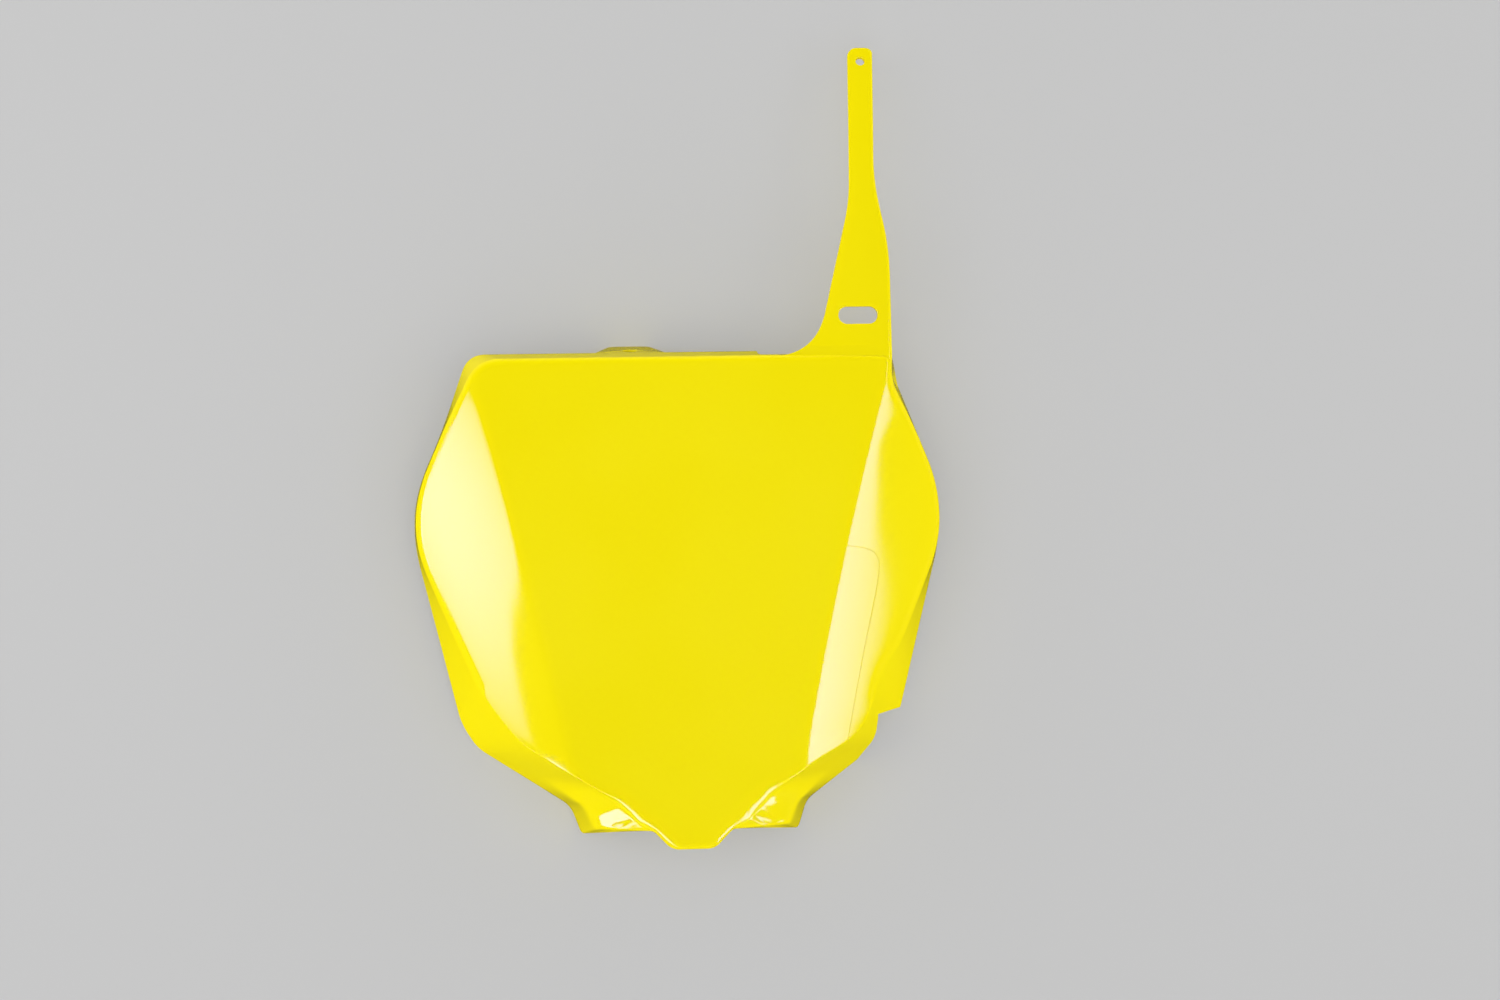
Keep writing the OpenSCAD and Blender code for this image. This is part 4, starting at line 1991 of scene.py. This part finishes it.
class Studio:
    """Pale floor, soft light and the camera of the photograph."""

    # Tone of the floor for the light; what the camera sees: a tone and a glow, with faint painted shade near
    # the board
    FLOOR_TONE = 0.82
    FLOOR_SEEN = 0.30
    FLOOR_GLOW = (0.265, 0.27)
    FLOOR_PAINTED_SHADE_RUN = 0.5
    # Tone of the floor in reflections, below and above the levels between which it changes
    FLOOR_MIRRORED = (0.03, 0.16)
    FLOOR_MIRROR_LEVELS = (0.02, 0.06)
    FLOOR_SIZE = 6.0
    FLOOR_ROUGHNESS = 0.9
    FLOOR_SPECULAR = 0.1
    # Strength of the world towards the lower and the upper side of the picture and its share in
    # reflections, then what its lowest band adds on those two sides, and where that band ends
    WORLD_LOW = 1.42
    WORLD_HIGH = 0.02
    WORLD_SHINE = 0.03
    WORLD_EDGE_NEAR = 0.9
    WORLD_EDGE_FAR = 5.4
    WORLD_EDGE_TOP = 0.4
    LAMP_PLACE = (0.0, -0.07, 0.75)
    LAMP_SIZE = 0.55
    LAMP_ENERGY = 0.6
    SOFTBOXES = (
        Softbox(
            "softbox_left",
            (
                (-0.45, 0.39), (-0.54, 0.15), (-0.64, -0.015), (-0.69, -0.09), (-0.80, -0.18),
                (-0.882, -0.233), (-0.945, -0.277), (-1.008, -0.313), (-1.082, -0.404), (-1.094, -0.459),
                (-1.085, -0.527),
                (-1.065, -0.564), (-1.06, -0.75), (-1.90, -0.75), (-1.90, -0.22), (-1.35, 0.15), (-1.0, 0.39),
            ),
            (-1.45, -0.17),
            (0.94, 0.48),
            2.6,
            12.5,
        ),
        Softbox(
            "softbox_right",
            (
                (0.92, 0.30), (1.00, 0.30), (1.042, 0.099), (1.206, 0.011), (1.119, -0.030), (1.202, -0.121),
                (1.263, -0.195), (1.352, -0.265), (1.500, -0.353), (1.615, -0.424), (1.699, -0.507),
                (1.685, -0.542), (1.60, -0.64), (1.15, -0.58), (0.92, -0.53),
            ),
            (0.80, -0.60),
            (0.85, 1.20),
            2.6,
            13.0,
        ),
        Softbox(
            "card_side",
            ((-1.905, -0.42), (-1.905, 0.22), (-2.35, 0.45), (-2.35, -0.72)),
            (-2.0, 0.0),
            (9.0, 9.0),
            0.0,
            16.0,
        ),
        Softbox(
            "card_left",
            (
                (-1.75, -0.72), (-1.06, -0.75), (-1.00, -0.64), (-0.58, -0.64), (-0.36, -0.88),
                (-0.28, -1.20), (-0.20, -2.60), (-0.32, -2.60), (-0.50, -1.60), (-0.90, -1.50),
                (-1.72, -1.48),
            ),
            (-1.20, -1.10),
            (1.80, 1.60),
            0.0,
            14.0,
        ),
        Softbox(
            "card_right",
            (
                (0.42, -0.74), (0.62, -0.93), (0.80, -1.02), (0.95, -1.22), (1.15, -1.25), (1.55, -1.34),
                (1.90, -1.48), (2.40, -1.90), (2.40, -2.80), (1.40, -2.80), (1.15, -1.95), (0.85, -1.60),
                (0.60, -1.14), (0.44, -0.86),
            ),
            (1.20, -1.30),
            (2.40, 2.40),
            0.0,
            12.0,
        ),
    )

    def __init__(self, shot: Shot) -> None:
        """Keep the camera's numbers.

        Args:
            shot: Place, direction and lens of the camera.
        """
        self.shot = shot

    def flat_object(self, name: str, outline: Sequence[tuple[float, float]], height: float,
                    material: bpy.types.Material) -> bpy.types.Object:
        """Flat level object of the stage.

        Args:
            name: Name of the object.
            outline: Corners in plan, in metres.
            height: Height above the floor, in metres.
            material: Material of the object.

        Returns:
            Object marked as part of the stage.
        """
        mesh = bpy.data.meshes.new(name)
        mesh.from_pydata([(x, y, height) for x, y in outline], [], [list(range(len(outline)))])
        mesh.materials.append(material)
        item = bpy.data.objects.new(name, mesh)
        bpy.context.scene.collection.objects.link(item)
        return item

    def floor(self) -> None:
        """Pale matt floor."""
        shader = Shader("pale_floor")
        rays = shader.node("ShaderNodeLightPath")
        split = shader.node("ShaderNodeSeparateXYZ")
        low, high = self.FLOOR_MIRROR_LEVELS
        near, far = self.FLOOR_MIRRORED
        mirrored = shader.node(
            "ShaderNodeMapRange", {"From Min": low, "From Max": high, "To Min": near, "To Max": far}
        )
        glossy = shader.node("ShaderNodeMapRange", {"To Min": self.FLOOR_TONE})
        tone = shader.node("ShaderNodeMapRange", {"To Max": self.FLOOR_SEEN})
        place = shader.node("ShaderNodeTexCoord")
        away = shader.node("ShaderNodeVectorMath", operation="LENGTH")
        # The glow grows a little with the distance from the board: faint painted shade on the floor round it
        start, end = self.FLOOR_GLOW
        rise = shader.node(
            "ShaderNodeMapRange", {"From Max": self.FLOOR_PAINTED_SHADE_RUN, "To Min": start, "To Max": end}
        )
        glow = shader.node("ShaderNodeMath", operation="MULTIPLY")
        surface = shader.node(
            "ShaderNodeBsdfPrincipled",
            {
                "Roughness": self.FLOOR_ROUGHNESS,
                "Specular IOR Level": self.FLOOR_SPECULAR,
                "Emission Color": (1.0, 1.0, 1.0, 1.0),
            },
        )
        shader.link(place.outputs["Object"], split.inputs["Vector"])
        shader.link(split.outputs["Y"], mirrored.inputs["Value"])
        shader.link(mirrored.outputs["Result"], glossy.inputs["To Max"])
        shader.link(rays.outputs["Is Glossy Ray"], glossy.inputs["Value"])
        shader.link(glossy.outputs["Result"], tone.inputs["To Min"])
        shader.link(rays.outputs["Is Camera Ray"], tone.inputs["Value"])
        shader.link(tone.outputs["Result"], surface.inputs["Base Color"])
        shader.link(place.outputs["Object"], away.inputs[0])
        shader.link(away.outputs["Value"], rise.inputs["Value"])
        shader.link(rise.outputs["Result"], glow.inputs[0])
        shader.link(rays.outputs["Is Camera Ray"], glow.inputs[1])
        shader.link(glow.outputs["Value"], surface.inputs["Emission Strength"])
        shader.link(surface.outputs["BSDF"], shader.output.inputs["Surface"])
        size = self.FLOOR_SIZE
        corners = ((-size, -size), (size, -size), (size, size), (-size, size))
        self.flat_object("floor", corners, 0.0, shader.material)

    def lamps(self) -> None:
        """Softboxes above the board."""
        for box in self.SOFTBOXES:
            shader = Shader(box.name)
            place = shader.node("ShaderNodeTexCoord")
            fade = {"Location": (*box.middle, box.height), "Scale": (*box.spread, 1.0)}
            turned = shader.node("ShaderNodeMapping", fade, vector_type="TEXTURE")
            squared = shader.node("ShaderNodeVectorMath", operation="DOT_PRODUCT")
            falloff = shader.node("ShaderNodeMapRange", {"To Min": box.shine, "To Max": 0.0})
            light = shader.node("ShaderNodeEmission", {"Strength": box.light})
            shine = shader.node("ShaderNodeEmission", {"Color": (*box.shine_colour, 1.0)})
            rays = shader.node("ShaderNodeLightPath")
            choice = shader.node("ShaderNodeMixShader")
            shader.link(place.outputs["Object"], turned.inputs["Vector"])
            shader.link(turned.outputs["Vector"], squared.inputs[0])
            shader.link(turned.outputs["Vector"], squared.inputs[1])
            shader.link(squared.outputs["Value"], falloff.inputs["Value"])
            shader.link(falloff.outputs["Result"], shine.inputs["Strength"])
            shader.link(rays.outputs["Is Glossy Ray"], choice.inputs["Fac"])
            shader.link(light.outputs["Emission"], choice.inputs[1])
            shader.link(shine.outputs["Emission"], choice.inputs[2])
            shader.link(choice.outputs["Shader"], shader.output.inputs["Surface"])
            self.flat_object(box.name, box.outline, box.height, shader.material)
        data = bpy.data.lights.new("overhead", "AREA")
        data.shape = "DISK"
        data.size = self.LAMP_SIZE
        data.energy = self.LAMP_ENERGY
        lamp = bpy.data.objects.new("overhead", data)
        lamp.location = self.LAMP_PLACE
        lamp.visible_glossy = False
        bpy.context.scene.collection.objects.link(lamp)

    def world(self) -> None:
        """Soft light from all round, stronger from the lower side and low down, and dim in reflections."""
        world = bpy.data.worlds.new("studio")
        world.use_nodes = True
        kit = Nodes(world.node_tree)
        back = kit.tree.nodes["Background"]
        back.inputs["Color"].default_value = (1.0, 1.0, 1.0, 1.0)
        place = kit.node("ShaderNodeTexCoord")
        split = kit.node("ShaderNodeSeparateXYZ")
        lean = kit.node(
            "ShaderNodeMapRange", {"From Min": -1.0, "To Min": self.WORLD_LOW, "To Max": self.WORLD_HIGH}
        )
        side = kit.node(
            "ShaderNodeMapRange",
            {"From Min": -1.0, "To Min": self.WORLD_EDGE_NEAR, "To Max": self.WORLD_EDGE_FAR},
        )
        edge = kit.node("ShaderNodeMapRange", {"From Max": self.WORLD_EDGE_TOP, "To Max": 0.0})
        both = kit.node("ShaderNodeMath")
        rays = kit.node("ShaderNodeLightPath")
        dim = kit.node("ShaderNodeMapRange", {"To Min": 1.0, "To Max": self.WORLD_SHINE})
        strength = kit.node("ShaderNodeMath", operation="MULTIPLY")
        for start, end in (
            (place.outputs["Generated"], split.inputs[0]),
            (split.outputs["Y"], lean.inputs["Value"]),
            (split.outputs["Y"], side.inputs["Value"]),
            (side.outputs["Result"], edge.inputs["To Min"]),
            (split.outputs["Z"], edge.inputs["Value"]),
            (lean.outputs["Result"], both.inputs[0]),
            (edge.outputs["Result"], both.inputs[1]),
            (rays.outputs["Is Glossy Ray"], dim.inputs["Value"]),
            (both.outputs["Value"], strength.inputs[0]),
            (dim.outputs["Result"], strength.inputs[1]),
            (strength.outputs["Value"], back.inputs["Strength"]),
        ):
            kit.link(start, end)
        bpy.context.scene.world = world

    def camera(self) -> None:
        """Camera at the photograph's place."""
        shot = self.shot
        data = bpy.data.cameras.new("camera")
        data.lens = shot.lens
        data.clip_start = 0.01
        item = bpy.data.objects.new("camera", data)
        bpy.context.scene.collection.objects.link(item)
        turn = (
            Matrix.Rotation(math.radians(shot.roll), 4, "Y")
            @ Matrix.Rotation(math.radians(shot.pitch), 4, "X")
            @ Matrix.Rotation(math.radians(shot.yaw), 4, "Z")
        )
        item.matrix_world = Matrix.Translation(shot.place) @ turn
        bpy.context.scene.camera = item

    def build(self) -> None:
        """Set up the whole studio."""
        self.floor()
        self.lamps()
        self.world()
        self.camera()
        bpy.context.scene.view_settings.view_transform = "Standard"


def main() -> None:
    logging.basicConfig(level=logging.INFO, format="%(name)s: %(message)s")
    material = PlasticMaterial(PlasticFinish()).material
    for piece in NumberBoard(material).build():
        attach(piece, BODY)
        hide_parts(NODE)
    Studio(Shot()).build()


if __name__ == "__main__":
    main()
